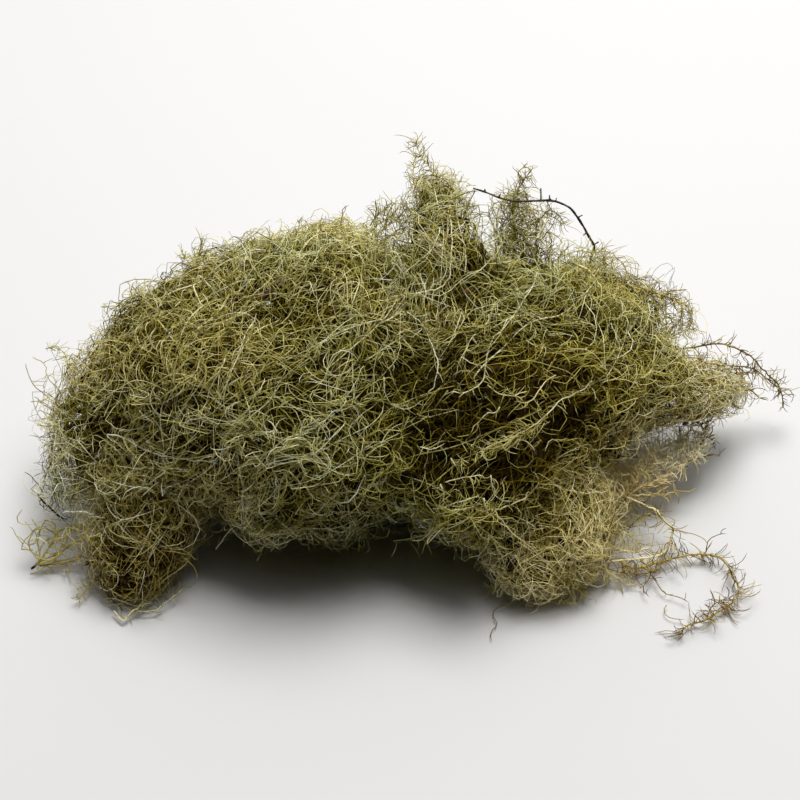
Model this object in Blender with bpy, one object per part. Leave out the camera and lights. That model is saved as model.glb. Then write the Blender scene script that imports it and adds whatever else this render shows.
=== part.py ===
"""A handful of beard lichen with a thin bare twig caught in it, lying on a table.

The lichen is a heap of separate tufts. Each tuft is lofted along its own spine as a lumpy,
ridged body, cut clear of its neighbours, cut flat where it rests on the table, and fused with
the coarse strands that stand out of it. Sprigs, where single branches show, are bare branches
with side spines. Sizes are millimetres: +X right, +Y to the back, +Z up, the table at z = 0.
"""

import math
import random

import bmesh
import bpy
from mathutils import Vector, noise
from mathutils.bvhtree import BVHTree

MM = 0.001
GAP = 0.35  # air left between two neighbouring pieces
STRAND_RADIUS = 0.5  # a coarse strand where it leaves its tuft
STRAND_TIP = 0.3  # the same strand at its tip
STRAND_POINTS = 5
STRAND_AIR = 1.0  # least distance from a strand's centre line to another piece
STRANDS_APART = 1.9  # least distance between the centre lines of two pieces' strands
FLOOR_AIR = 0.7  # least height of a free strand's centre line
CEILING = 66.0  # its greatest height
FLOOR_SLAB = (400, 400, 60)
BRANCH_STEP = 3.0  # length of one straight step of a branch
SEED = 11

LICHEN_GREEN = (0.15, 0.14, 0.055)
LICHEN_PALE = (0.24, 0.22, 0.10)
LICHEN_BROWN = (0.10, 0.075, 0.035)
TWIG_BROWN = (0.05, 0.032, 0.022)

# Each tuft: its spine, its half width and half height at each spine point, how finely it is
# lofted, over what share of the spine its rings' direction is taken (1 keeps them all parallel),
# how many ridges run along it, and how many coarse strands stand out of it.
TUFTS = {
    "twig_tuft": dict(
        spine=[(32, 66, 30), (31.5, 77, 40), (31, 86, 48), (31, 92, 53), (32, 98, 55)],
        across=[8, 9, 7.5, 4.5, 2.2],
        height=[8, 8, 6, 4, 2.2],
        sides=10, stations=8, steady=0.2, ridges=5, strands=8, colour=LICHEN_GREEN,
    ),
    "left_mound": dict(
        spine=[(-77, 52, 24), (-68, 52, 25.5), (-50, 53, 26.5), (-30, 53, 27), (-12, 54, 28), (5, 52, 25)],
        across=[9, 23, 33, 43, 44, 30],
        height=[9, 19, 28, 31, 32, 23],
        sides=18, stations=12, steady=1.0, ridges=5, strands=16, colour=LICHEN_GREEN,
    ),
    "right_mound": dict(
        spine=[(-2, 49, 24), (12, 49, 25), (27, 52, 26.5), (45, 57, 27.5), (58, 57, 27), (68, 58, 26)],
        across=[36, 42, 36, 26, 18, 8],
        height=[21, 28, 28, 22, 15.5, 7],
        sides=18, stations=11, steady=1.0, ridges=5, strands=10, colour=LICHEN_GREEN,
    ),
    "peak_tuft": dict(
        spine=[(7, 50, 40), (9, 60, 48), (10, 69, 54), (10, 78, 58.5), (8, 88, 61), (5, 97, 62)],
        across=[16, 17, 14, 9.5, 5, 1.8],
        height=[12, 12, 9.5, 6, 3.5, 1.6],
        sides=10, stations=9, steady=0.25, ridges=3, strands=9, colour=LICHEN_PALE,
    ),
    "back_right_tuft": dict(
        spine=[(34, 74, 34), (46, 76, 34), (57, 77, 32.5), (67, 76, 29), (75, 72.5, 23)],
        across=[9, 9.5, 8, 7, 4],
        height=[7, 7.5, 6.5, 5.5, 3],
        sides=10, stations=8, steady=0.3, ridges=3, strands=8, colour=LICHEN_BROWN,
    ),
    "right_lobe": dict(
        spine=[(44, 45, 25), (54, 48, 24.5), (65, 52.5, 22), (77, 57, 19), (86, 60.5, 17)],
        across=[11, 12, 11, 9, 4],
        height=[9, 9.5, 8.5, 6.5, 3.5],
        sides=10, stations=8, steady=0.5, ridges=3, strands=7, colour=LICHEN_GREEN,
    ),
    "left_foot": dict(
        spine=[(-54, 44, 26), (-60, 31, 19), (-63, 19, 11), (-64.5, 8, 5), (-66, 1, 2.5)],
        across=[14, 15, 14, 11, 5],
        height=[13, 12, 10.5, 7, 3.5],
        sides=12, stations=8, steady=0.5, ridges=5, strands=8, colour=LICHEN_GREEN,
    ),
    "left_side_tuft": dict(
        spine=[(-68, 60, 31), (-76, 51, 28), (-80, 41, 21), (-81, 31, 15), (-79, 24, 10)],
        across=[8, 9, 9, 8, 4.5],
        height=[9, 10, 9.5, 7.5, 4],
        sides=10, stations=8, steady=0.3, ridges=3, strands=9, colour=LICHEN_GREEN,
    ),
    "front_right_tuft": dict(
        spine=[(21, 37, 23), (28, 31, 18), (35, 23, 13), (38, 14, 8), (37, 6, 4)],
        across=[11, 15, 18, 18, 11],
        height=[10, 12, 11.5, 9, 5],
        sides=12, stations=8, steady=0.6, ridges=5, strands=9, colour=LICHEN_PALE,
    ),
}

# Each sprig: its branches as (points, radius at the base, radius at the tip), the distance from
# one side spine to the next, and the spines' length.
SPRIGS = {
    "right_branch": dict(
        branches=[
            (
                [(40, 28.5, 14), (49, 29.5, 11), (59, 33, 8.5), (66, 36, 9),
                 (73, 40.5, 10.5), (77.5, 46, 11.5), (77, 49, 13)],
                1.1, 0.7,
            ),
            ([(48, 34.5, 12), (58, 36.5, 11.5), (64.5, 42.5, 11.5), (71, 45, 12), (77.5, 46, 11.5)], 0.8, 0.6),
            ([(49, 29.5, 11), (56.5, 30, 9), (66, 32, 6.5), (70, 34, 6.5)], 0.8, 0.5),
        ],
        every=5.6, spine_length=4.8, colour=LICHEN_PALE,
    ),
    "trailing_strand": dict(
        branches=[
            (
                [(40.5, 20, 11), (44.5, 14, 7), (54, 13, 4.5), (63, 14, 2.6), (71.5, 16.5, 2.4), (78, 16.3, 2.3),
                 (81.5, 12, 2.2), (83, 6, 2), (78, 0, 1.6), (71.5, -3.3, 1.3), (67.5, -6.5, 0.9)],
                0.9, 0.5,
            ),
            (
                [(50, 35, 12), (56, 29, 10.5), (62, 27, 8.5), (66, 23.5, 7), (68, 21.5, 5.2),
                 (66.5, 18, 4), (60, 14.2, 3.8), (54, 13, 4.5)],
                0.8, 0.7,
            ),
        ],
        every=5.2, spine_length=4.4, colour=LICHEN_PALE,
    ),
    "left_sprig": dict(
        branches=[
            (
                [(-66, 19, 12), (-74, 19.6, 11), (-80, 19.8, 10), (-86, 19.2, 8.5), (-89, 16.5, 6),
                 (-89.2, 14.3, 3), (-90.5, 13.7, 2)],
                1.0, 0.7,
            ),
            ([(-77, 19.7, 10.6), (-80, 15.8, 7), (-84.5, 15.2, 5.5), (-89.2, 14.3, 3)], 0.7, 0.6),
        ],
        every=3.6, spine_length=4.8, colour=LICHEN_BROWN,
    ),
    "right_sprig": dict(
        branches=[
            (
                [(60, 66, 27), (70, 66.5, 24.5), (80, 67.4, 25), (87, 66.4, 24), (92.5, 64.8, 19.5),
                 (97.5, 63.1, 14), (99.8, 60.5, 8)],
                0.8, 0.5,
            ),
            ([(62, 62, 23), (72, 64, 21.5), (82.5, 63.5, 21), (91, 64.4, 18.5), (97.5, 63.1, 14)], 0.7, 0.5),
        ],
        every=5.2, spine_length=4.2, colour=LICHEN_BROWN,
    ),
}

# The bare twig lies across the back, through the twig tuft, and its thick end is in the
# back right tuft.
TWIG_PATH = [
    (19, 90.8, 57), (25, 87.6, 57), (31.5, 85.3, 58), (38, 85.4, 58), (43, 84.5, 56),
    (46.5, 84, 50), (49.4, 83.5, 43.5), (49.5, 82, 38),
]
TWIG_RADIUS = (0.55, 0.8)
TWIG_SPUR_EVERY = 4.6
TWIG_SPUR_LENGTH = 2.2


def point_on(points, share):
    """A point on the smooth curve through the points, share going from 0 to 1."""
    last = len(points) - 1
    place = min(max(share, 0.0), 1.0) * last
    i = min(int(place), last - 1)
    t = place - i
    before, start, end, after = (Vector(points[min(max(k, 0), last)]) for k in (i - 1, i, i + 1, i + 2))
    return 0.5 * (
        2 * start
        + (end - before) * t
        + (2 * before - 5 * start + 4 * end - after) * t**2
        + (3 * start - before - 3 * end + after) * t**3
    )


def value_on(values, share):
    """The same for a list of numbers, by straight lines."""
    last = len(values) - 1
    place = min(max(share, 0.0), 1.0) * last
    i = min(int(place), last - 1)
    return values[i] + (values[i + 1] - values[i]) * (place - i)


def frame_on(points, share, step=0.01):
    """The curve's direction, its sideways direction and its upward direction."""
    along = (point_on(points, share + step) - point_on(points, share - step)).normalized()
    aside = along.cross(Vector((0, 0, 1))).normalized()
    return along, aside, aside.cross(along)


def surface_point(tuft, share, angle, grow=0.0):
    """A point on a tuft's lumpy, ridged surface."""
    centre = point_on(tuft["spine"], share)
    _, aside, upward = frame_on(tuft["spine"], share, tuft["steady"])
    reach = aside * math.cos(angle) * value_on(tuft["across"], share)
    reach += upward * math.sin(angle) * value_on(tuft["height"], share)
    lumps = 0.15 * noise.noise((centre + reach) * 0.07)
    lumps += 0.06 * math.sin(tuft["ridges"] * angle + 7 * share)
    size = reach.length
    return centre + reach * ((size * (1 + lumps) + grow) / size)


def loft(tuft, grow=0.0):
    """A tuft's closed body, as a bmesh: rings along the spine, closed by a point at each end."""
    bm = bmesh.new()
    rings = []
    for station in range(tuft["stations"]):
        share = station / (tuft["stations"] - 1)
        angles = [2 * math.pi * side / tuft["sides"] for side in range(tuft["sides"])]
        rings.append([bm.verts.new(surface_point(tuft, share, a, grow) * MM) for a in angles])
    for ring, next_ring in zip(rings, rings[1:]):
        for side in range(tuft["sides"]):
            after = (side + 1) % tuft["sides"]
            bm.faces.new((ring[side], ring[after], next_ring[after]))
            bm.faces.new((ring[side], next_ring[after], next_ring[side]))
    for ring, share, way in ((rings[0], 0.0, -1), (rings[-1], 1.0, 1)):
        along = frame_on(tuft["spine"], share, tuft["steady"])[0]
        bulge = 0.45 * value_on(tuft["height"], share) + grow
        pole = bm.verts.new((point_on(tuft["spine"], share) + along * way * bulge) * MM)
        for side in range(tuft["sides"]):
            bm.faces.new((ring[side], ring[(side + 1) % tuft["sides"]], pole))
    bmesh.ops.recalc_face_normals(bm, faces=bm.faces)
    return bm


def mesh_object(name, bm):
    mesh = bpy.data.meshes.new(name)
    bm.to_mesh(mesh)
    bm.free()
    made = bpy.data.objects.new(name, mesh)
    bpy.context.scene.collection.objects.link(made)
    return made


def helper(made):
    """Marks a cutter, which isn't part of the object."""
    made.hide_render = True
    made.display_type = "WIRE"
    return made


def tubes(name, paths, grow=0.0):
    """Round tapering rods along paths, as one mesh object. A path is [(point, radius), ...]."""
    curve = bpy.data.curves.new(name, "CURVE")
    curve.dimensions = "3D"
    curve.bevel_depth = MM
    curve.bevel_resolution = 0
    curve.use_fill_caps = True
    for path in paths:
        spline = curve.splines.new("POLY")
        spline.points.add(len(path) - 1)
        for spot, (point, radius) in zip(spline.points, path):
            spot.co = (*(point * MM), 1)
            spot.radius = radius + grow
    guide = bpy.data.objects.new(name + "_line", curve)
    bpy.context.scene.collection.objects.link(guide)
    graph = bpy.context.evaluated_depsgraph_get()
    mesh = bpy.data.meshes.new_from_object(guide.evaluated_get(graph))
    bpy.data.objects.remove(guide)
    bm = bmesh.new()
    bm.from_mesh(mesh)
    bmesh.ops.remove_doubles(bm, verts=bm.verts, dist=1e-6)
    bmesh.ops.recalc_face_normals(bm, faces=bm.faces)
    return mesh_object(name, bm)


def combine(target, others, operation):
    """Applies one Boolean with each other object in turn, then drops those objects."""
    for other in others:
        step = target.modifiers.new(operation, "BOOLEAN")
        step.operation = operation
        step.solver = "EXACT" if operation == "UNION" else "MANIFOLD"
        step.use_self = True
        step.object = other
        graph = bpy.context.evaluated_depsgraph_get()
        result = bpy.data.meshes.new_from_object(target.evaluated_get(graph))
        target.modifiers.remove(step)
        target.data = result
    for other in others:
        bpy.data.objects.remove(other)


def keep_largest_body(target):
    """Drops the crumbs that a cut leaves beside the main body."""
    bm = bmesh.new()
    bm.from_mesh(target.data)
    left = set(bm.verts)
    bodies = []
    while left:
        body, edge = set(), [left.pop()]
        while edge:
            vert = edge.pop()
            body.add(vert)
            near = {e.other_vert(vert) for e in vert.link_edges} & left
            left -= near
            edge.extend(near)
        bodies.append(body)
    bodies.sort(key=len)
    for body in bodies[:-1]:
        bmesh.ops.delete(bm, geom=list(body), context="VERTS")
    bm.to_mesh(target.data)
    bm.free()


def floor_block():
    bm = bmesh.new()
    bmesh.ops.create_cube(bm, size=1)
    bmesh.ops.scale(bm, verts=bm.verts, vec=Vector(FLOOR_SLAB) * MM)
    bmesh.ops.translate(bm, verts=bm.verts, vec=Vector((0, 0, -FLOOR_SLAB[2] / 2 * MM)))
    return helper(mesh_object("floor_block", bm))


def branch_path(points, base, tip):
    """A branch as [(point, radius), ...], with a step every few millimetres."""
    length = sum((Vector(b) - Vector(a)).length for a, b in zip(points, points[1:]))
    steps = max(4, round(length / BRANCH_STEP))
    return [
        (point_on(points, k / steps), base + (tip - base) * k / steps)
        for k in range(steps + 1)
    ]


def side_spines(points, every, length, dice, radius=0.4):
    """Short curved side branches that stand out of a branch on alternate sides."""
    reach = sum((Vector(b) - Vector(a)).length for a, b in zip(points, points[1:]))
    count = int(reach / every)
    spines = []
    for k in range(1, count):
        share = k / count
        along, aside, upward = frame_on(points, share)
        turn = 2.4 * k + dice.uniform(-0.4, 0.4)
        out = aside * math.cos(turn) + upward * math.sin(turn)
        size = length * dice.uniform(0.6, 1.15)
        start = point_on(points, share)
        middle = start + (out + along * 0.25) * size * 0.55
        end = start + (out * 0.85 + along * 0.55) * size
        if min(middle.z, end.z) < FLOOR_AIR:
            continue
        spines.append([(start, radius), (middle, radius * 0.85), (end, radius * 0.6)])
    return spines


def strand_path(tuft, dice):
    """A coarse strand that leaves the tuft's surface, bows out and droops along the tuft's run."""
    share = dice.uniform(0.05, 0.98)
    angle = dice.uniform(-0.35, math.pi + 0.35)
    along = frame_on(tuft["spine"], share)[0] * dice.choice((-1, 1, 1))
    skin = surface_point(tuft, share, angle)
    out = (skin - point_on(tuft["spine"], share)).normalized()
    sideways = along.cross(out) * dice.uniform(-0.9, 0.9)
    heading = (out * dice.uniform(0.35, 0.8) + along * dice.uniform(0.3, 1.0) + sideways).normalized()
    length = dice.uniform(7, 15)
    step = length / (STRAND_POINTS - 2)
    path = [(skin - out * 1.6, STRAND_RADIUS), (skin - out * 0.2, STRAND_RADIUS)]
    curl = Vector((dice.uniform(-1, 1), dice.uniform(-1, 1), dice.uniform(-1.2, 0.2))) * 0.16
    for k in range(STRAND_POINTS - 2):
        heading = (heading + curl - out * 0.05).normalized()
        spot = path[-1][0] + heading * step
        fade = (k + 1) / (STRAND_POINTS - 2)
        path.append((spot, STRAND_RADIUS + (STRAND_TIP - STRAND_RADIUS) * fade))
    return path


def close_points(path):
    """Points every millimetre or so along a strand."""
    found = []
    for (start, _), (end, _) in zip(path, path[1:]):
        found += [start.lerp(end, part) for part in (0.25, 0.5, 0.75, 1.0)]
    return found


def is_inside(spot, tree):
    """Whether a point is within a piece: a line up from it leaves the piece an odd number of times."""
    up = Vector((0, 0, 1))
    start, inside = spot * MM, False
    while (hit := tree.ray_cast(start, up)[0]) is not None:
        start, inside = hit + up * 1e-6, not inside
    return inside


def is_clear(path, others, strands_of_others):
    """Whether a strand keeps off the table, the other pieces and the other pieces' strands."""
    spots = close_points(path)
    if not all(FLOOR_AIR < spot.z < CEILING for spot in spots):
        return False
    for tree in others:
        if is_inside(path[0][0], tree):
            return False
        if any(tree.find_nearest(spot * MM)[3] < STRAND_AIR * MM for spot in spots):
            return False
    for other in strands_of_others:
        for spot in close_points(other):
            if any((spot - own).length < STRANDS_APART for own in spots):
                return False
    return True


def tree_of(made):
    bm = bmesh.new()
    bm.from_mesh(made.data)
    tree = BVHTree.FromBMesh(bm)
    bm.free()
    return tree


def finish(made, colour):
    """Gives the piece its material and shades it smooth where its faces bend gently."""
    paint = bpy.data.materials.new(made.name)
    paint.use_nodes = True
    surface = paint.node_tree.nodes["Principled BSDF"]
    surface.inputs["Base Color"].default_value = (*colour, 1)
    surface.inputs["Roughness"].default_value = 0.85
    surface.inputs["Metallic"].default_value = 0.0
    made.data.materials.clear()
    made.data.materials.append(paint)
    made.data.shade_smooth()
    made.data.set_sharp_from_angle(angle=math.radians(50))


def twig_paths():
    dice = random.Random(SEED)
    thin, thick = TWIG_RADIUS
    stem = branch_path(TWIG_PATH, thin, thick)
    spurs = side_spines(TWIG_PATH, TWIG_SPUR_EVERY, TWIG_SPUR_LENGTH, dice, radius=0.35)
    return stem, spurs


def fused(name, paths, grow=0.0):
    """Rods along the paths, joined into one body. The first path is the stem of the others."""
    stem = tubes(name, paths[:1], grow)
    if len(paths) > 1:
        combine(stem, [tubes(name + "_sides", paths[1:], grow)], "UNION")
    keep_largest_body(stem)
    return stem


def build_twig(name="twig", grow=0.0):
    stem, spurs = twig_paths()
    return fused(name, [stem] + spurs, grow)


def sprig_paths(name):
    """A sprig's branches and their side spines."""
    sprig = SPRIGS[name]
    dice = random.Random(SEED + len(name))
    paths = [branch_path(*branch) for branch in sprig["branches"]]
    for points, _, _ in sprig["branches"]:
        paths += side_spines(points, sprig["every"], sprig["spine_length"], dice)
    return paths


def build_tuft(name, cutters):
    tuft = TUFTS[name]
    body = mesh_object(name, loft(tuft))
    combine(body, cutters + [floor_block()], "DIFFERENCE")
    keep_largest_body(body)
    return body


def build_sprig(name, cutters):
    body = fused(name, sprig_paths(name))
    combine(body, cutters, "DIFFERENCE")
    keep_largest_body(body)
    return body


def add_strands(pieces):
    """Fuses each tuft with the strands that clear the other pieces."""
    trees = {name: tree_of(piece) for name, piece in pieces.items()}
    kept = {name: [] for name in TUFTS}
    for number, (name, tuft) in enumerate(TUFTS.items()):
        dice = random.Random(SEED * 100 + number)
        others = [tree for other, tree in trees.items() if other != name]
        tries = 0
        while len(kept[name]) < tuft["strands"] and tries < 40 * tuft["strands"]:
            tries += 1
            path = strand_path(tuft, dice)
            foreign = [p for other, paths in kept.items() if other != name for p in paths]
            if is_clear(path, others, foreign):
                kept[name].append(path)
    for name, paths in kept.items():
        if paths:
            combine(pieces[name], [tubes(name + "_strands", paths)], "UNION")
            keep_largest_body(pieces[name])


def stand_on_origin(pieces):
    """Moves the whole heap so that the middle of its box's underside is the origin."""
    corners = [vert.co for piece in pieces.values() for vert in piece.data.vertices]
    low = Vector([min(c[k] for c in corners) for k in range(3)])
    high = Vector([max(c[k] for c in corners) for k in range(3)])
    middle = Vector(((low.x + high.x) / 2, (low.y + high.y) / 2, low.z))
    for piece in pieces.values():
        for vert in piece.data.vertices:
            vert.co -= middle
    print("layout centre in mm:", [round(c / MM, 3) for c in middle])
    print("size in mm:", [round(c / MM, 1) for c in high - low])


def main():
    for old in list(bpy.data.objects):
        bpy.data.objects.remove(old)
    pieces = {"twig": build_twig()}
    # What has been placed so far, a little larger, cuts the room for each piece that follows.
    grown = {"twig": lambda: build_twig("twig_cutter", GAP)}
    for name in TUFTS:
        pieces[name] = build_tuft(name, [helper(make()) for make in grown.values()])
        grown[name] = lambda name=name: mesh_object(name + "_cutter", loft(TUFTS[name], GAP))
    for name in SPRIGS:
        pieces[name] = build_sprig(name, [helper(make()) for make in grown.values()])
        grown[name] = lambda name=name: fused(name + "_cutter", sprig_paths(name), GAP)
    add_strands(pieces)
    stand_on_origin(pieces)
    finish(pieces["twig"], TWIG_BROWN)
    for name, recipe in {**TUFTS, **SPRIGS}.items():
        finish(pieces[name], recipe["colour"])


main()
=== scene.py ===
# Looks for a clump of beard lichen with a bare twig caught in it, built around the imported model.
import math
import bpy
import numpy as np
from mathutils import Matrix, Vector
from mathutils.bvhtree import BVHTree


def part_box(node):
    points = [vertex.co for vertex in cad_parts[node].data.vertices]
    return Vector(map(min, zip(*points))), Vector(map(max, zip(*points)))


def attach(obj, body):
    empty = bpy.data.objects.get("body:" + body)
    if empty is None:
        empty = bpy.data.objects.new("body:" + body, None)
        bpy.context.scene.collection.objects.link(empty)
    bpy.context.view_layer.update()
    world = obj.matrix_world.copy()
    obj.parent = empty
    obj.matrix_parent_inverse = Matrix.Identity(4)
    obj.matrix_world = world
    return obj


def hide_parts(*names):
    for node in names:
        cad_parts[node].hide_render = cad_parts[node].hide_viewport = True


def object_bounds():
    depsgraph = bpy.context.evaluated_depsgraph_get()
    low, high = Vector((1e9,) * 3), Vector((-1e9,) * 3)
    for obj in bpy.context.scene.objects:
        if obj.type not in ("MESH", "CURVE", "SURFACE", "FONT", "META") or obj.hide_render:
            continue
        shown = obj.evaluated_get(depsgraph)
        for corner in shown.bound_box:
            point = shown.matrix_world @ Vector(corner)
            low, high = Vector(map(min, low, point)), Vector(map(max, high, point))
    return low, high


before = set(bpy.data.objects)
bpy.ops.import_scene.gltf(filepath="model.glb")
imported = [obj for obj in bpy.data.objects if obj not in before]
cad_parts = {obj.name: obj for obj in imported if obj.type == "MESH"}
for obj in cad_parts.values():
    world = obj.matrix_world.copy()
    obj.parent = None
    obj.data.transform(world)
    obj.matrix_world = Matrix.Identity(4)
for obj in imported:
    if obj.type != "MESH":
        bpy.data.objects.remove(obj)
cadLow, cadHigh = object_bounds()
bpy.ops.object.select_all(action="DESELECT")
print("frame loaded,", len(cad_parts), "nodes")

mm = 0.001
dice = np.random.default_rng(41)
lowCorner = np.array(cadLow) / mm  # all the lichen's sizes below are in millimetres
highCorner = np.array(cadHigh) / mm

# The stage's camera. It also places all that is given below as pixels of its picture.
photoView = dict(elevation=48.0, distance=520.0, target=(-3.873, -2.523, 25.0), frameWidth=200.0, pixels=800)


def unit(vectors):
    return vectors / np.maximum(np.linalg.norm(vectors, axis=-1, keepdims=True), 1e-9)


def photoAxes():
    # the way ahead, the way up and the place of the camera
    tilt = math.radians(photoView["elevation"])
    ahead = np.array((0, math.cos(tilt), -math.sin(tilt)))
    up = np.array((0, math.sin(tilt), math.cos(tilt)))
    return ahead, up, np.array(photoView["target"]) - ahead * photoView["distance"]


def sightLines(pixels):
    # the ways from the camera through these pixels
    ahead, up, eye = photoAxes()
    scale = photoView["frameWidth"] / photoView["pixels"]
    middle = photoView["pixels"] / 2
    right = np.array((1.0, 0, 0))
    return unit(ahead * photoView["distance"] + right * (pixels[:, :1] - middle) * scale
                + up * (middle - pixels[:, 1:]) * scale)


def placesAt(points):
    # the places of points that are given as a pixel and a height, to a tenth of a millimetre
    points = np.array(points, float)
    eye, ways = photoAxes()[2], sightLines(points[:, :2])
    places = eye + ways * ((points[:, 2] - eye[2]) / ways[:, 2])[:, None]
    target = np.array(photoView["target"])
    return np.round(np.round(places - target, 1) + np.round(target, 1), 1)


# Kinds of strand: radii, points along it, least and greatest length, how much it wanders, where in the
# clump's filling it starts (0.5 is at the skin, 1 in the middle), how far its heading strays from the
# tuft's flow, and what sets its depth and its place on the tint scale.
# The core strands' near-black tint is painted shade for the clump's shadowed middle.
shadeCoreStrand = dict(base=0.85, tip=0.7, points=9, length=(28, 50), curl=0.05, starts=(0.88, 0.985), stray=0.7,
                  depth=(0.93, 0.98), tint=(0.01, 0.06))
bundleStrand = dict(base=0.17, tip=0.13, points=12, length=(28, 52), curl=0.1, starts=(0.7, 1.0), stray=0.7,
                    depth=(0.72, 0.97), tint=(0.08, 0.34))
paleStrand = dict(base=0.18, tip=0.12, points=34, length=(38, 92), curl=0.035, starts=(0.42, 0.65),
                  stray=0.45, depthShare=0.5, outBy=0.03, tintSpread=0.08, tintShift=0.40)
thinStrand = dict(base=0.12, tip=0.09, points=24, length=(32, 80), curl=0.08, starts=(0.45, 0.85),
                  stray=0.45, depthShare=1, outBy=0, tintSpread=0.1, tintShift=0.1)
hairStrand = dict(base=0.10, tip=0.08, points=10, length=(14, 34), curl=0.16, starts=(0.4, 0.85), stray=0.7,
                  outBy=0.12, tintSpread=0.13, tintShift=0.04)
# How the single ones differ from their kind, and how far they keep above the table.
mainVaries = dict(curl=(0.4, 1.6), thickness=(0.7, 1.15), margin=0.4)
hairVaries = dict(curl=(0.3, 1.5), thickness=(0.75, 1.2), margin=0.2, fewest=10)
fibrilVaries = dict(thickness=(0.7, 1.25), margin=0.2, tintSpread=0.13, bend=(0.08, 0.5))
# Kinds of fibril, with their share of all the fibrils.
fibrilKinds = [
    dict(share=0.20, base=0.097, tip=0.08, points=3, length=(2.2, 4.2)),
    dict(share=0.38, base=0.097, tip=0.078, points=4, length=(3.8, 6.8)),
    dict(share=0.26, base=0.097, tip=0.076, points=5, length=(5.6, 10.0)),
    dict(share=0.16, base=0.097, tip=0.072, points=7, length=(9.0, 15.0)),
]
fibrilsKept = 0.72  # of those that are sown, when the triangles are shared out
threadSides = 3

# Each tuft: the solid it fills, its number of triangles, the way most strands run, its place on the
# tint scale, how many fibrils sit on a millimetre of main strand, its shares of dark core, whose tint is
# painted shade, of bundles, of hairs, of pale main strands and of dark threads, how deep in the clump's
# skin its strands keep (0.5 is on the skin, 1 in the middle), how far out its fibrils may reach (0.5 is
# not at all) and how thick its threads are, against the others.
tufts = [
    dict(node="left_mound", slot="lichen_green", triangles=336000, flow=(0.72, 0.5, 0.42), tint=0.50,
         fibrilsPerMm=1.0, core=0.11, bundles=0.15, hairs=0.30, pale=0.32, dark=0.03,
         depth=(0.48, 0.82), hold=0.40, thin=1.0),
    dict(node="right_mound", slot="lichen_green", triangles=238000, flow=(0.8, 0.45, 0.3), tint=0.44,
         fibrilsPerMm=1.0, core=0.10, bundles=0.12, hairs=0.30, pale=0.28, dark=0.03,
         depth=(0.48, 0.82), hold=0.40, thin=1.0),
    dict(node="peak_tuft", slot="lichen_pale", triangles=38000, flow=(0.0, 0.8, 0.5), tint=0.52,
         fibrilsPerMm=1.3, core=0.03, bundles=0.10, hairs=0.30, pale=0.32, dark=0.05,
         depth=(0.52, 0.88), hold=0.46, thin=0.86),
    dict(node="twig_tuft", slot="lichen_green", triangles=15000, flow=(0.0, 0.7, 0.7), tint=0.50,
         fibrilsPerMm=1.3, core=0.0, bundles=0.06, hairs=0.30, pale=0.26, dark=0.12,
         depth=(0.55, 0.9), hold=0.54, thin=0.86),
    dict(node="back_right_tuft", slot="lichen_brown", triangles=10000, flow=(0.9, 0.1, -0.2), tint=0.44,
         fibrilsPerMm=1.1, core=0.0, bundles=0.0, hairs=0.36, pale=0.26, dark=0.16,
         depth=(0.54, 0.9), hold=0.54, thin=0.86),
    dict(node="right_lobe", slot="lichen_green", triangles=34000, flow=(0.9, 0.4, -0.1), tint=0.52,
         fibrilsPerMm=1.3, core=0.0, bundles=0.04, hairs=0.30, pale=0.30, dark=0.08,
         depth=(0.50, 0.8), hold=0.46, thin=0.86),
    dict(node="left_foot", slot="lichen_green", triangles=50000, flow=(-0.2, -0.8, -0.5), tint=0.38,
         fibrilsPerMm=0.9, core=0.05, bundles=0.10, hairs=0.46, pale=0.24, dark=0.10,
         depth=(0.48, 0.8), hold=0.44, thin=0.78),
    dict(node="left_side_tuft", slot="lichen_green", triangles=17000, flow=(-0.3, -0.7, -0.5), tint=0.62,
         fibrilsPerMm=1.6, core=0.0, bundles=0.0, hairs=0.30, pale=0.20, dark=0.12,
         depth=(0.52, 0.85), hold=0.50, thin=0.8),
    dict(node="front_right_tuft", slot="lichen_pale", triangles=62000, flow=(0.3, -0.8, -0.4), tint=0.62,
         fibrilsPerMm=0.8, core=0.05, bundles=0.08, hairs=0.36, pale=0.56, dark=0.04,
         depth=(0.46, 0.8), hold=0.40, thin=0.82),
]

# The room that the lichen fills, as a block of small cubes.
room = dict(cube=1.5, margin=12.0, softenings=8, hollows=[], openings=[])
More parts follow.
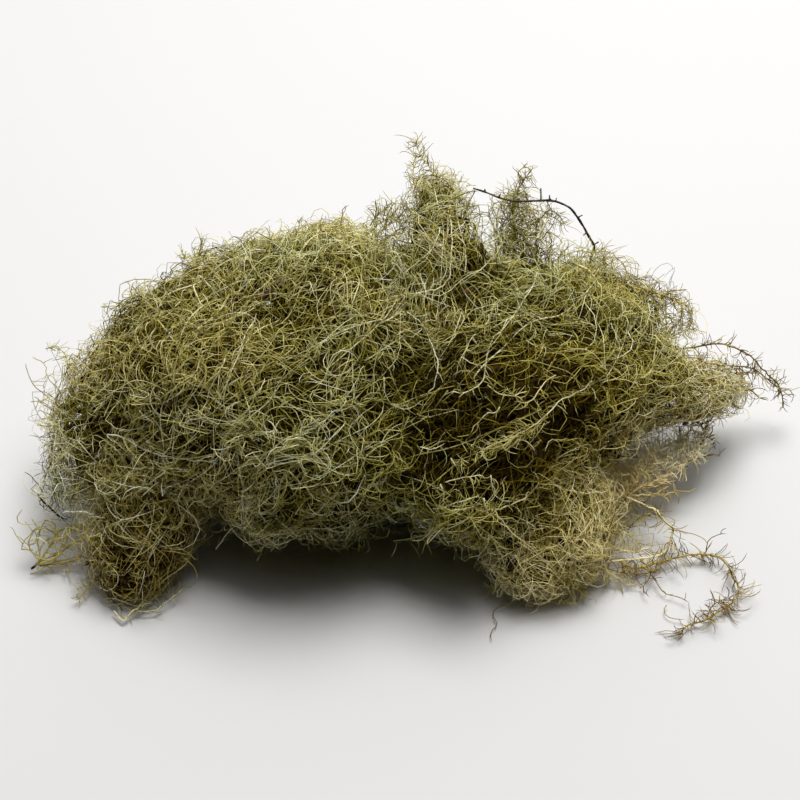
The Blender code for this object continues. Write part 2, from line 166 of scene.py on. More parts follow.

# Where the clump sinks in, with a darker tint there as painted shade, and where it is thin: a pixel of the
# picture, reach in mm, strength.
hollows = [
    (405, 380, 9, 0.9), (275, 325, 6, 0.6), (300, 388, 7, 0.4), (345, 360, 5, 0.3), (255, 420, 6, 0.4),
    (470, 395, 10, 0.9), (520, 405, 12, 1.0), (570, 400, 10, 0.9), (505, 360, 8, 0.6), (585, 350, 6, 0.4),
    (540, 455, 10, 0.8), (480, 470, 10, 0.7), (400, 480, 9, 0.6), (360, 440, 7, 0.3), (310, 490, 8, 0.4),
    (440, 500, 8, 0.6), (385, 510, 8, 0.5), (440, 440, 8, 0.5), (215, 495, 8, 0.4), (160, 560, 9, 0.5),
    (600, 440, 9, 0.7), (525, 500, 8, 0.6), (560, 520, 4, 0.7), (530, 545, 4, 0.6), (575, 565, 4, 0.6),
    (548, 578, 3, 0.5),
]
openings = [
    (98, 342, 5, 0.5), (116, 314, 5, 0.5), (136, 290, 4, 0.5), (72, 380, 5, 0.7), (82, 418, 4, 0.8),
    (62, 402, 4, 0.7), (102, 428, 3, 0.6), (104, 460, 3, 0.5), (56, 440, 3, 0.5), (118, 400, 3, 0.4),
    (88, 455, 4, 0.8), (88, 485, 4, 0.8), (88, 515, 4, 0.7), (640, 285, 5, 0.7), (690, 335, 6, 0.7),
    (668, 308, 5, 0.5), (668, 370, 5, 0.3), (548, 215, 5, 0.8), (553, 233, 4, 0.8), (558, 208, 4, 0.8),
    (498, 205, 3, 0.7), (492, 228, 3, 0.8), (415, 190, 3, 0.5), (440, 165, 3, 0.5), (378, 215, 4, 0.4),
    (182, 590, 6, 0.9), (160, 606, 6, 0.9), (135, 608, 5, 0.6), (100, 603, 6, 0.9), (120, 548, 4, 0.4),
    (484, 590, 5, 0.8), (612, 594, 7, 0.9), (580, 608, 5, 0.7), (624, 528, 5, 0.7), (640, 456, 5, 0.9),
    (662, 446, 5, 0.9), (685, 436, 5, 0.9), (708, 424, 4, 0.7), (734, 408, 5, 0.7), (622, 558, 5, 0.7),
    (520, 604, 4, 0.5), (655, 470, 3, 0.7), (625, 470, 4, 0.6),
]


def columnHits(tree, x, y, low):
    # heights at which a line straight up from (x, y, low) meets the solid, in mm
    up, spot, heights = Vector((0, 0, 1)), Vector((x, y, low)) * mm, []
    while (hit := tree.ray_cast(spot, up)[0]) is not None:
        heights.append(hit.z / mm)
        spot = hit + up * 1e-6
    return heights


def fillSolid(name):
    # True for each cube whose middle is in the node
    cube, inside = room["cube"], np.zeros(room["shape"], bool)
    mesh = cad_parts[name].data
    tree = BVHTree.FromPolygons([v.co for v in mesh.vertices], [p.vertices for p in mesh.polygons])
    low, high = (np.array(corner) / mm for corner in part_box(name))
    first = np.maximum(np.floor((low - room["low"]) / cube).astype(int), 0)
    last = np.ceil((high - room["low"]) / cube).astype(int)
    levels = room["low"][2] + cube * np.arange(room["shape"][2])
    for i in range(first[0], last[0] + 1):
        for j in range(first[1], last[1] + 1):
            x, y = room["low"][0] + cube * i, room["low"][1] + cube * j
            heights = columnHits(tree, x, y, low[2] - 1)
            for start, end in zip(heights[::2], heights[1::2]):
                inside[i, j] |= (levels > start) & (levels < end)
    return inside


def soften(block):
    # spreads a block of values over its neighbours, so that its slope points inwards
    block = block.astype(np.float32)
    for _ in range(room["softenings"]):
        for axis in range(3):
            block = 0.5 * block + 0.25 * (np.roll(block, 1, axis) + np.roll(block, -1, axis))
    return block


def slopeBlock(block):
    # the value and its slope per mm, four numbers a cube
    slopes = np.gradient(block, room["cube"])
    return np.stack([block, *slopes], axis=-1)


def readBlock(block, points):
    # the block's values at the points, between the cubes' middles by straight lines
    place = (points - room["low"]) / room["cube"]
    place = np.clip(place, 0, np.array(room["shape"]) - 1.001)
    corner = place.astype(int)
    part = place - corner
    total = 0
    for step in np.ndindex(2, 2, 2):
        weight = np.prod(np.where(step, part, 1 - part), axis=1)
        i, j, k = (corner + step).T
        total = total + weight[:, None] * block[i, j, k]
    return total


# How the clump's skin is looked for along a line of sight: from and to, in steps; the filling it has; how
# far above it a laid strand keeps; how much deeper the next point may be, so that a strand bridges hollows
# rather than dropping into them; and over how many points the depth is evened out.
skinSearch = dict(near=430.0, far=620.0, step=0.8, level=0.45, lift=0.35, drop=1.08, evenOver=5, table=0.5)


def skinBelow(pixels, lift=skinSearch["lift"]):
    # the places on the clump's skin that are seen at these pixels of the picture, as one smooth run
    eye, ways = photoAxes()[2], sightLines(pixels)
    steps = np.arange(skinSearch["near"], skinSearch["far"], skinSearch["step"])
    points = eye + ways[:, None] * steps[:, None]
    fill = readBlock(room["all"], points.reshape(-1, 3))[:, 0].reshape(len(ways), -1)
    filled = fill > skinSearch["level"]
    table = (skinSearch["table"] - eye[2]) / ways[:, 2]
    deep = np.where(filled.any(1), steps[filled.argmax(1)], table)
    for order in (range(1, len(deep)), range(len(deep) - 2, -1, -1)):
        for k in order:
            nearby = deep[k - 1] if order.step > 0 else deep[k + 1]
            deep[k] = min(deep[k], nearby + skinSearch["drop"])
    ends, even = skinSearch["evenOver"] // 2, skinSearch["evenOver"]
    padded = np.concatenate([deep[:1]] * ends + [deep] + [deep[-1:]] * ends)
    deep = np.convolve(padded, np.full(even, 1 / even), "valid") - lift
    return eye + ways * deep[:, None]


def measureRoom():
    room["low"] = lowCorner - room["margin"]
    room["shape"] = tuple(np.ceil((highCorner + room["margin"] - room["low"]) / room["cube"]).astype(int))
    whole = np.zeros(room["shape"], bool)
    for tuft in tufts:
        inside = fillSolid(tuft["node"])
        tuft["own"] = slopeBlock(soften(inside))
        tuft["cubes"] = np.argwhere(inside) * room["cube"] + room["low"]
        whole |= inside
    room["all"] = slopeBlock(soften(whole))
    eye = photoAxes()[2]
    for x, y, reach, strength in hollows:
        place = skinBelow(np.array([(x, y)], float))[0]
        room["hollows"].append((place, np.zeros(3), reach, strength))
    for x, y, reach, strength in openings:  # these go right through, along the line of sight
        place = skinBelow(np.array([(x, y)], float))[0]
        room["openings"].append((eye, unit(place - eye), reach, strength))


def nearness(points, places):
    # how near these points are to the places, or to the lines, of a list, from 0 to 1
    total = 0
    for place, way, reach, strength in places:
        away = points - place
        away = away - way * (away @ way)[:, None]
        gap = (away ** 2).sum(-1) / reach ** 2
        total = total + strength * np.exp(-gap)
    return np.clip(total, 0, 1)


# How thickly the threads lie: most on the sides that face up and forward, least below.
crowd = dict(side=(0.0, -0.55, 0.83), least=0.28, rise=0.72, turned=0.5, span=0.9, below=0.15, belowFrom=-0.5)


def crowding(slopes):
    outward = -unit(slopes)
    facing = outward @ np.array(crowd["side"])
    share = ((facing + crowd["turned"]) / crowd["span"]).clip(0, 1)
    return crowd["least"] + crowd["rise"] * share - crowd["below"] * (outward[:, 2] < crowd["belowFrom"])


# The smooth fields that steer strands and their colours, each with its wavelength in mm.
drifts = dict(waves=10, spread=(0.6, 1.5))


def makeDrift(wavelength):
    # a smooth field of directions that swirls over about one wavelength
    waves = drifts["waves"]
    k = unit(dice.normal(size=(waves, 3))) * 2 * math.pi / wavelength
    k = k * dice.uniform(*drifts["spread"], (waves, 1))
    push = unit(np.cross(k, dice.normal(size=(waves, 3))))
    phase = dice.uniform(0, 2 * math.pi, waves)

    def drift(points):
        return np.cos(points @ k.T + phase) @ push * math.sqrt(2 / waves)
    return drift


wideDrift, closeDrift, tintDrift, fineDrift = makeDrift(60), makeDrift(16), makeDrift(40), makeDrift(9)
hueDrift = makeDrift(34)

# What turns a strand on each millimetre that it creeps: the two drifts, its tuft's flow, the pull to the
# depth that it keeps to, which is greater by sink in a hollow, the pull into its own tuft and away from
# the table, and how much of its heading across the skin it loses. Its own wave turns at a pace of its own.
creep = dict(wide=0.03, close=0.9, flow=0.025, pace=(0.15, 0.45), sink=0.22, deepest=0.93,
             toDepth=0.55, outMost=0.12, inMost=0.25, toTuft=0.9, tuftSkin=0.22, tuftMost=0.3,
             rise=0.25, riseBelow=1.6, riseMost=0.5, flatten=0.10)


def growStrands(tuft, kind, starts, headings, lengths, depth, curl):
    # Strands that creep along inside the tuft's skin. depth is the filling that each one keeps to:
    # about 1 in the middle of the clump, 0.5 at the skin and 0 outside.
    count, points = len(starts), kind["points"]
    step = (lengths / (points - 1))[:, None]
    here, heading = starts.copy(), unit(headings)
    route = [here]
    flow = unit(np.array(tuft["flow"], float))
    sense = np.where(heading @ flow < 0, -1.0, 1.0)[:, None]  # strands run both ways
    phase = dice.uniform(0, 2 * math.pi, (count, 3))
    pace = dice.uniform(*creep["pace"], (count, 3))
    for k in range(1, points):
        fill = readBlock(room["all"], here)
        own = readBlock(tuft["own"], here)
        inward, ownInward = unit(fill[:, 1:]), unit(own[:, 1:])
        sinking = nearness(here, room["hollows"] + room["openings"])
        wanted = np.maximum(depth, np.minimum(depth + creep["sink"] * sinking, creep["deepest"]))
        turn = creep["wide"] * wideDrift(here) * sense + creep["close"] * curl * closeDrift(here)
        turn += curl * np.sin(phase + pace * step * k)
        turn += creep["flow"] * flow * sense
        tooShallow = (creep["toDepth"] * (wanted - fill[:, 0]))[:, None]
        turn += inward * tooShallow.clip(-creep["outMost"], creep["inMost"])
        strayed = (creep["toTuft"] * (creep["tuftSkin"] - own[:, 0])).clip(0, creep["tuftMost"])
        turn += ownInward * strayed[:, None]
        turn[:, 2] += (creep["rise"] * (creep["riseBelow"] - here[:, 2])).clip(0, creep["riseMost"])
        across = np.einsum("ij,ij->i", heading, inward)[:, None]
        turn -= inward * across * creep["flatten"]
        heading = unit(heading + turn * step)
        here = here + heading * step
        route.append(here)
    return np.stack(route, axis=1)


boxMargin = np.array((3.6, 2.0, 1.2))  # how far a thread may stand out of the CAD model's box


def keepInBox(routes, above):
    low, high = lowCorner - boxMargin, highCorner + boxMargin
    low[2] = above
    return np.clip(routes, low, high)


def routeTangents(routes):
    ahead = np.concatenate([routes[:, 1:], routes[:, -1:]], axis=1)
    behind = np.concatenate([routes[:, :1], routes[:, :-1]], axis=1)
    return unit(ahead - behind)


def sideways(directions):
    # any direction square to each of these
    other = np.where(np.abs(directions[..., 2:]) < 0.9, (0.0, 0.0, 1.0), (1.0, 0.0, 0.0))
    return unit(np.cross(directions, other))


# How fibrils sit on a strand and grow. Their rows swing round it by sway, once in about six times
# swayEvery; each strays from its row, leans ahead and is an arc that wavers, bent as the drifts and chance
# have it. Fewer grow in hollows and openings, and none where the strand is buried. They turn in where
# they reach too far out, and up from the table.
rowsOfFibrils = dict(sway=2.2, swayEvery=13, stray=0.65, lean=(0.0, 0.9), inHollows=0.5, inOpenings=0.75,
                     buriedAt=0.88, close=1.2, fine=0.8, chance=0.7, waver=0.13, turnIn=1.6, turnInMost=0.6,
                     rise=0.8, riseBelow=0.9, riseMost=0.8)


def growFibrils(routes, perMm, kind, bend, hold=None):
    # Short curved side threads in rows along the strands, on both sides of each. Without a hold they all
    # stay, and reach as far as they like.
    grow = rowsOfFibrils
    lengths = np.linalg.norm(np.diff(routes, axis=1), axis=2).sum(1)
    count = int(lengths.sum() * perMm + 0.5)
    parent = dice.choice(len(routes), count, p=lengths / lengths.sum())
    share = dice.uniform(0.01, 1.0, count)
    place = share * (routes.shape[1] - 1)
    k = np.minimum(place.astype(int), routes.shape[1] - 2)
    part = (place - k)[:, None]
    start = routes[parent, k] * (1 - part) + routes[parent, k + 1] * part
    along = unit(routes[parent, k + 1] - routes[parent, k])
    side = sideways(along)
    other = np.cross(along, side)
    row = dice.uniform(0, 2 * math.pi, len(routes))[parent]
    row = row + grow["sway"] * np.sin(share * lengths[parent] / grow["swayEvery"])
    angle = (row + dice.normal(0, grow["stray"], count) + math.pi * (dice.random(count) < 0.5))[:, None]
    out = side * np.cos(angle) + other * np.sin(angle)
    fill = readBlock(room["all"], start)
    chance = crowding(fill[:, 1:]) * (1 - grow["inHollows"] * nearness(start, room["hollows"]))
    chance = chance * (1 - grow["inOpenings"] * nearness(start, room["openings"]))
    kept = (hold is None) | (fill[:, 0] < grow["buriedAt"]) & (dice.random(count) < chance)
    start, along, out = start[kept], along[kept], out[kept]
    count = len(start)
    heading = unit(out + along * dice.uniform(*grow["lean"], (count, 1)))
    points = kind["points"]
    length = dice.uniform(*kind["length"], (count, 1))
    step = length / (points - 1)
    axis = grow["close"] * closeDrift(start) + grow["fine"] * fineDrift(start)
    axis = unit(axis + grow["chance"] * dice.normal(size=(count, 3)))
    axis = unit(axis - heading * np.einsum("ij,ij->i", axis, heading)[:, None])  # what the arc goes round
    bends = dice.uniform(*bend, (count, 1)) * step
    here, path = start, [start]
    for _ in range(1, points):
        fill = readBlock(room["all"], here)
        turn = bends * np.cross(axis, heading) + dice.normal(0, grow["waver"], (count, 3))
        if hold is not None:
            tooFar = (grow["turnIn"] * (hold - fill[:, :1])).clip(0, grow["turnInMost"])
            turn += unit(fill[:, 1:]) * tooFar
        turn[:, 2] += (grow["rise"] * (grow["riseBelow"] - here[:, 2])).clip(0, grow["riseMost"])
        heading = unit(heading + turn)
        here = here + heading * step
        path.append(here)
    return np.stack(path, axis=1)


# Which of the four hues a thread has, from 0, warm, to 3, cool: one in the middle, more at a ridge across
# the clump, more or less as the drift goes and by chance, and less where the clump is warm. Each warm (or,
# below 0, cool) part: how much, and from where over what width it comes in, across and in depth.
hueScale = dict(count=4, middle=1.3, ridge=0.8, ridgeAt=-4, ridgeWidth=30, drift=0.6, chance=0.7)
warmParts = [
    (1.7, (5, 25), (-2, -18)),  # the front right tuft
    (0.8, (-200, 1), (25, 12)),  # the back, all across
    (0.8, (-70, -12), (-12, 10)),  # the left side
    (-0.9, (-48, -12), (-12, -10)),  # the left foot
    (-0.5, (8, 20), (-14, 12)),  # the right mound
]


def threads(routes, base, tip, tints, thin=1.0):
    # a set of threads that have the same number of points: routes, end radii, places on the tint scale
    # and hues
    size = (len(routes),)
    middle = routes[:, routes.shape[1] // 2]
    x, y = middle[:, 0], middle[:, 1]
    warmth = 0
    for much, (startX, widthX), (startY, widthY) in warmParts:
        warmth = warmth + much * ((x - startX) / widthX).clip(0, 1) * ((y - startY) / widthY).clip(0, 1)
    ridge = np.exp(-((x - hueScale["ridgeAt"]) / hueScale["ridgeWidth"]) ** 2)
    hues = hueScale["middle"] + hueScale["ridge"] * ridge - warmth
    hues = hues + hueScale["drift"] * hueDrift(middle)[:, 0] + dice.normal(0, hueScale["chance"], size)
    return dict(routes=routes, base=np.broadcast_to(base * thin, size), tip=np.broadcast_to(tip * thin, size),
                tints=np.broadcast_to(tints, size), hues=np.clip(np.round(hues), 0, hueScale["count"] - 1))


def triangleCount(points, count=1):
    return count * (2 * threadSides * (points - 2) + 2 * threadSides - 2)


# Where the threads sit on the palette, which is the piece's UV map. Across, each hue has a part of it, and
# a thread runs there from its base to its tip. Upwards is the tint scale, on which a thread is a narrow band.
palette = dict(map="OFBake", start=0.02, run=0.95, band=0.012, cap=0.004)


def tubeMesh(routes, base, tip, tints, hues):
    # Closed tapering tubes with a pointed end, round the routes: corners, faces of four and three
    # corners, and the palette place of each face corner.
    count, points, _ = routes.shape
    sides = threadSides
    tangents = routeTangents(routes)
    across = np.empty_like(routes)
    across[:, 0] = sideways(tangents[:, 0])
    for k in range(1, points):
        before = across[:, k - 1]
        onto = np.einsum("ij,ij->i", before, tangents[:, k])[:, None]
        across[:, k] = unit(before - onto * tangents[:, k])
    upright = np.cross(tangents, across)
    share = np.linspace(0, 1, points)
    radius = base[:, None] * (1 - share) + tip[:, None] * share
    angle = 2 * math.pi * np.arange(sides) / sides
    ring = across[:, :, None] * np.cos(angle)[:, None] + upright[:, :, None] * np.sin(angle)[:, None]
    rings = (routes[:, :, None] + ring * radius[:, :, None, None])[:, :-1].reshape(count, -1, 3)
    corners = np.concatenate([rings, routes[:, -1:]], axis=1)
    perTube = (points - 1) * sides + 1
    first = (np.arange(count) * perTube)[:, None, None]
    band = palette["band"]
    k, s = np.meshgrid(np.arange(points - 2), np.arange(sides), indexing="ij")
    after = (s + 1) % sides
    quads = [k * sides + s, k * sides + after, (k + 1) * sides + after, (k + 1) * sides + s]
    quads = first + np.stack(quads, axis=-1).reshape(1, -1, 4)
    quadU = np.stack([share[k], share[k], share[k + 1], share[k + 1]], axis=-1).reshape(1, -1, 4)
    quadV = (np.stack([s, s + 1, s + 1, s], axis=-1) / sides * band).reshape(1, -1, 4)
    s = np.arange(sides)
    last = (points - 2) * sides
    point = np.stack([last + s, last + (s + 1) % sides, np.full(sides, perTube - 1)], axis=-1)
    pointU = np.broadcast_to((share[-2], share[-2], share[-1]), (sides, 3))
    pointV = np.stack([s, s + 1, s + 0.5], axis=-1) / sides * band
    fan = np.stack([np.zeros(sides - 2, int), s[2:], s[1:-1]], axis=-1)  # closes the base
    fanU = share[0] + palette["cap"] * np.cos(angle)[fan]
    fanV = band * (0.5 + 0.5 * np.sin(angle)[fan])
    ends = first + np.concatenate([point, fan])[None]
    endU = np.concatenate([pointU, fanU])[None]
    endV = np.concatenate([pointV, fanV])[None]

    def places(faceU, faceV):
        faceU = (hues[:, None, None] + palette["start"] + palette["run"] * faceU) / hueScale["count"]
        return np.stack([faceU, tints[:, None, None] + faceV], -1).reshape(-1, 2)
    faces = [(quads.reshape(-1, 4), places(quadU, quadV)), (ends.reshape(-1, 3), places(endU, endV))]
    return dict(corners=corners.reshape(-1, 3), faces=faces)


def joinMeshes(name, parts):
    # one mesh object from several sets of tubes
    corners = np.concatenate([part["corners"] for part in parts]) * mm
    loops, starts, uv, offset, loopCount = [], [], [], 0, 0
    for part in parts:
        for faces, places in part["faces"]:
            loops.append((faces + offset).ravel())
            starts.append(loopCount + faces.shape[1] * np.arange(len(faces)))
            loopCount += faces.size
            uv.append(places)
        offset += len(part["corners"])
    loops, starts, uv = np.concatenate(loops), np.concatenate(starts), np.concatenate(uv)
    mesh = bpy.data.meshes.new(name)
    mesh.vertices.add(len(corners))
    mesh.vertices.foreach_set("co", corners.astype(np.float32).ravel())
    mesh.loops.add(len(loops))
    mesh.loops.foreach_set("vertex_index", loops.astype(np.int32))
    mesh.polygons.add(len(starts))
    mesh.polygons.foreach_set("loop_start", starts.astype(np.int32))
    mesh.update(calc_edges=True)
    mesh.uv_layers.new(name=palette["map"]).data.foreach_set("uv", uv.astype(np.float32).ravel())
    mesh.shade_smooth()
    piece = bpy.data.objects.new(name, mesh)
    bpy.context.scene.collection.objects.link(piece)
    return piece


mostTriangles = 190000  # in one piece
pieceEndings = ("_tangle", "_over")
made = dict(triangles=0)


def shareOut(sets):
    # the sets of threads in groups, each small enough for one piece
    groups, group, filled = [], [], 0
    for wanted in sets:
        each, start = triangleCount(wanted["routes"].shape[1]), 0
        while start < len(wanted["routes"]):
            space = (mostTriangles - filled) // each
            if space < 1:
                groups.append(group)
                group, filled = [], 0
                continue
            taken = {key: value[start:start + space] for key, value in wanted.items()}
            group.append(taken)
            filled += each * len(taken["routes"])
            start += space
    return groups + [group]


def makePieces(node, sets, material):
    # meshes that stand for a node, from its sets of threads
    for number, group in enumerate(shareOut(sets)):
        piece = joinMeshes(node + pieceEndings[number], [tubeMesh(**wanted) for wanted in group])
        piece.data.materials.append(material)
        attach(piece, "root")
        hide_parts(node)
        count = sum(triangleCount(wanted["routes"].shape[1], len(wanted["routes"])) for wanted in group)
        made["triangles"] += count
        print(piece.name, count, "triangles")


# Where strands start: with more chance well in their own tuft, and less in hollows, apart from the buried
# ones, and in openings. They share cubes where they are crowded.
seeding = dict(edge=0.05, inHollows=0.5, inOpenings=0.9, buried=0.85, crowded=0.5)


def seedStrands(tuft, count, kind):
    # start points in the tuft where the filling is right for the kind, headings along the skin, and lengths
    cubes = tuft["cubes"]
    fill = readBlock(room["all"], cubes)
    own = readBlock(tuft["own"], cubes)[:, 0]
    low, high = kind["starts"]
    weight = ((fill[:, 0] > low) & (fill[:, 0] < high)) * (seeding["edge"] + own)
    if low < seeding["buried"]:
        near = nearness(cubes, room["hollows"])
        weight = weight * crowding(fill[:, 1:]) * (1 - seeding["inHollows"] * near)
    weight = weight * (1 - seeding["inOpenings"] * nearness(cubes, room["openings"]))
    # no two start in one cube, while there are enough
    apart = count < seeding["crowded"] * (weight > 0).sum()
    pick = dice.choice(len(cubes), count, replace=not apart, p=weight / weight.sum())
    starts = cubes[pick] + dice.uniform(-0.5, 0.5, (count, 3)) * room["cube"]
    inward = unit(readBlock(room["all"], starts)[:, 1:])
    flow = unit(np.array(tuft["flow"], float)) * dice.choice((-1, 1), (count, 1))
    headings = flow + kind["stray"] * dice.normal(size=(count, 3))
    headings -= inward * np.einsum("ij,ij->i", headings, inward)[:, None]
    lengths = dice.uniform(*kind["length"], count)
    return starts, unit(headings), lengths


# Where on the tint scale threads sit: 0 dark brown, 0.5 yellow-green, 1 pale. They are darker further in
# and in hollows, as painted shade, and lighter at the very outside, as painted light; they differ from patch
# to patch, and some are dark ones.
tintScale = dict(inward=0.40, inwardFrom=0.52, inwardOver=0.4, lightest=-0.4, hollowShade=0.22, patch=0.07,
                 dark=(0.04, 0.2), ends=(0.02, 0.96))


def strandTints(tuft, routes, spread, shift=0.0):
    middle = routes[:, routes.shape[1] // 2]
    fill = readBlock(room["all"], middle)[:, 0]
    # painted light and shade: threads deeper in the clump get a darker tint, those at its very outside a
    # lighter one
    paintedLightAndShade = ((fill - tintScale["inwardFrom"]) / tintScale["inwardOver"]).clip(tintScale["lightest"], 1)
    patch = tintScale["patch"] * tintDrift(middle)[:, 0]
    tint = tuft["tint"] + patch + shift - tintScale["inward"] * paintedLightAndShade
    # painted shade: threads near a hollow get a darker tint
    tint = tint - tintScale["hollowShade"] * nearness(middle, room["hollows"])
    tint = tint + dice.normal(0, spread, len(routes))
    dark = dice.random(len(routes)) < tuft["dark"]
    return np.clip(np.where(dark, dice.uniform(*tintScale["dark"], len(routes)), tint), *tintScale["ends"])


def tuftThreads(tuft):
    # all the threads that fill a tuft
    budget, sets = tuft["triangles"], []
    left = budget
    # dark coarse strands in the middle, whose near-black tint is painted shade, then olive ones round them
    for kind, share in ((shadeCoreStrand, tuft["core"]), (bundleStrand, tuft["bundles"])):
        count = int(budget * share / triangleCount(kind["points"]))
        if count:
            seeds = seedStrands(tuft, count, kind)
            routes = growStrands(tuft, kind, *seeds, dice.uniform(*kind["depth"], count), kind["curl"])
            routes = keepInBox(routes, kind["base"])
            sets.append(threads(routes, kind["base"], kind["tip"], dice.uniform(*kind["tint"], count)))
            left -= triangleCount(kind["points"], count)
    # main strands, some of them thick and pale, and the fibrils on them
    fibrilCost = sum(kind["share"] * triangleCount(kind["points"]) for kind in fibrilKinds)
    forMains = left * (1 - tuft["hairs"])
    shallow, carriers = tuft["depth"][0], []
    for kind, share in ((paleStrand, tuft["pale"]), (thinStrand, 1 - tuft["pale"])):
        eachLength = sum(kind["length"]) / 2
        each = triangleCount(kind["points"]) + fibrilsKept * eachLength * tuft["fibrilsPerMm"] * fibrilCost
        count = int(forMains * share / each)
        seeds = seedStrands(tuft, count, kind)
        curl = dice.uniform(*mainVaries["curl"], (count, 1)) * kind["curl"]
        depth = shallow + np.diff(tuft["depth"]) * dice.random(count) * kind["depthShare"] - kind["outBy"]
        routes = keepInBox(growStrands(tuft, kind, *seeds, depth, curl), mainVaries["margin"])
        tints = strandTints(tuft, routes, kind["tintSpread"], kind["tintShift"])
        thickness = tuft["thin"] * dice.uniform(*mainVaries["thickness"], count)
        sets.append(threads(routes, kind["base"], kind["tip"], tints, thickness))
        left -= triangleCount(kind["points"], count)
        carriers.append(routes)
    bend = [bend / tuft["thin"] for bend in fibrilVaries["bend"]]
    for routes in carriers:
        for kind in fibrilKinds:
            fibrils = growFibrils(routes, tuft["fibrilsPerMm"] * kind["share"], kind, bend, tuft["hold"])
            fibrils = keepInBox(fibrils, fibrilVaries["margin"])
            tints = strandTints(tuft, fibrils, fibrilVaries["tintSpread"])
            thickness = tuft["thin"] * dice.uniform(*fibrilVaries["thickness"], len(fibrils))
            sets.append(threads(fibrils, kind["base"], kind["tip"], tints, thickness))
            left -= triangleCount(kind["points"], len(fibrils))
    # hair-like strands that wander near the skin
    kind = hairStrand
    count = max(hairVaries["fewest"], int(left / triangleCount(kind["points"])))
    seeds = seedStrands(tuft, count, kind)
    depth = dice.uniform(shallow - kind["outBy"], tuft["depth"][1], count)
    curl = dice.uniform(*hairVaries["curl"], (count, 1)) * kind["curl"]
    hairs = keepInBox(growStrands(tuft, kind, *seeds, depth, curl), hairVaries["margin"])
    tints = strandTints(tuft, hairs, kind["tintSpread"], kind["tintShift"])
    thickness = tuft["thin"] * dice.uniform(*hairVaries["thickness"], count)
    sets.append(threads(hairs, kind["base"], kind["tip"], tints, thickness))
    return sets


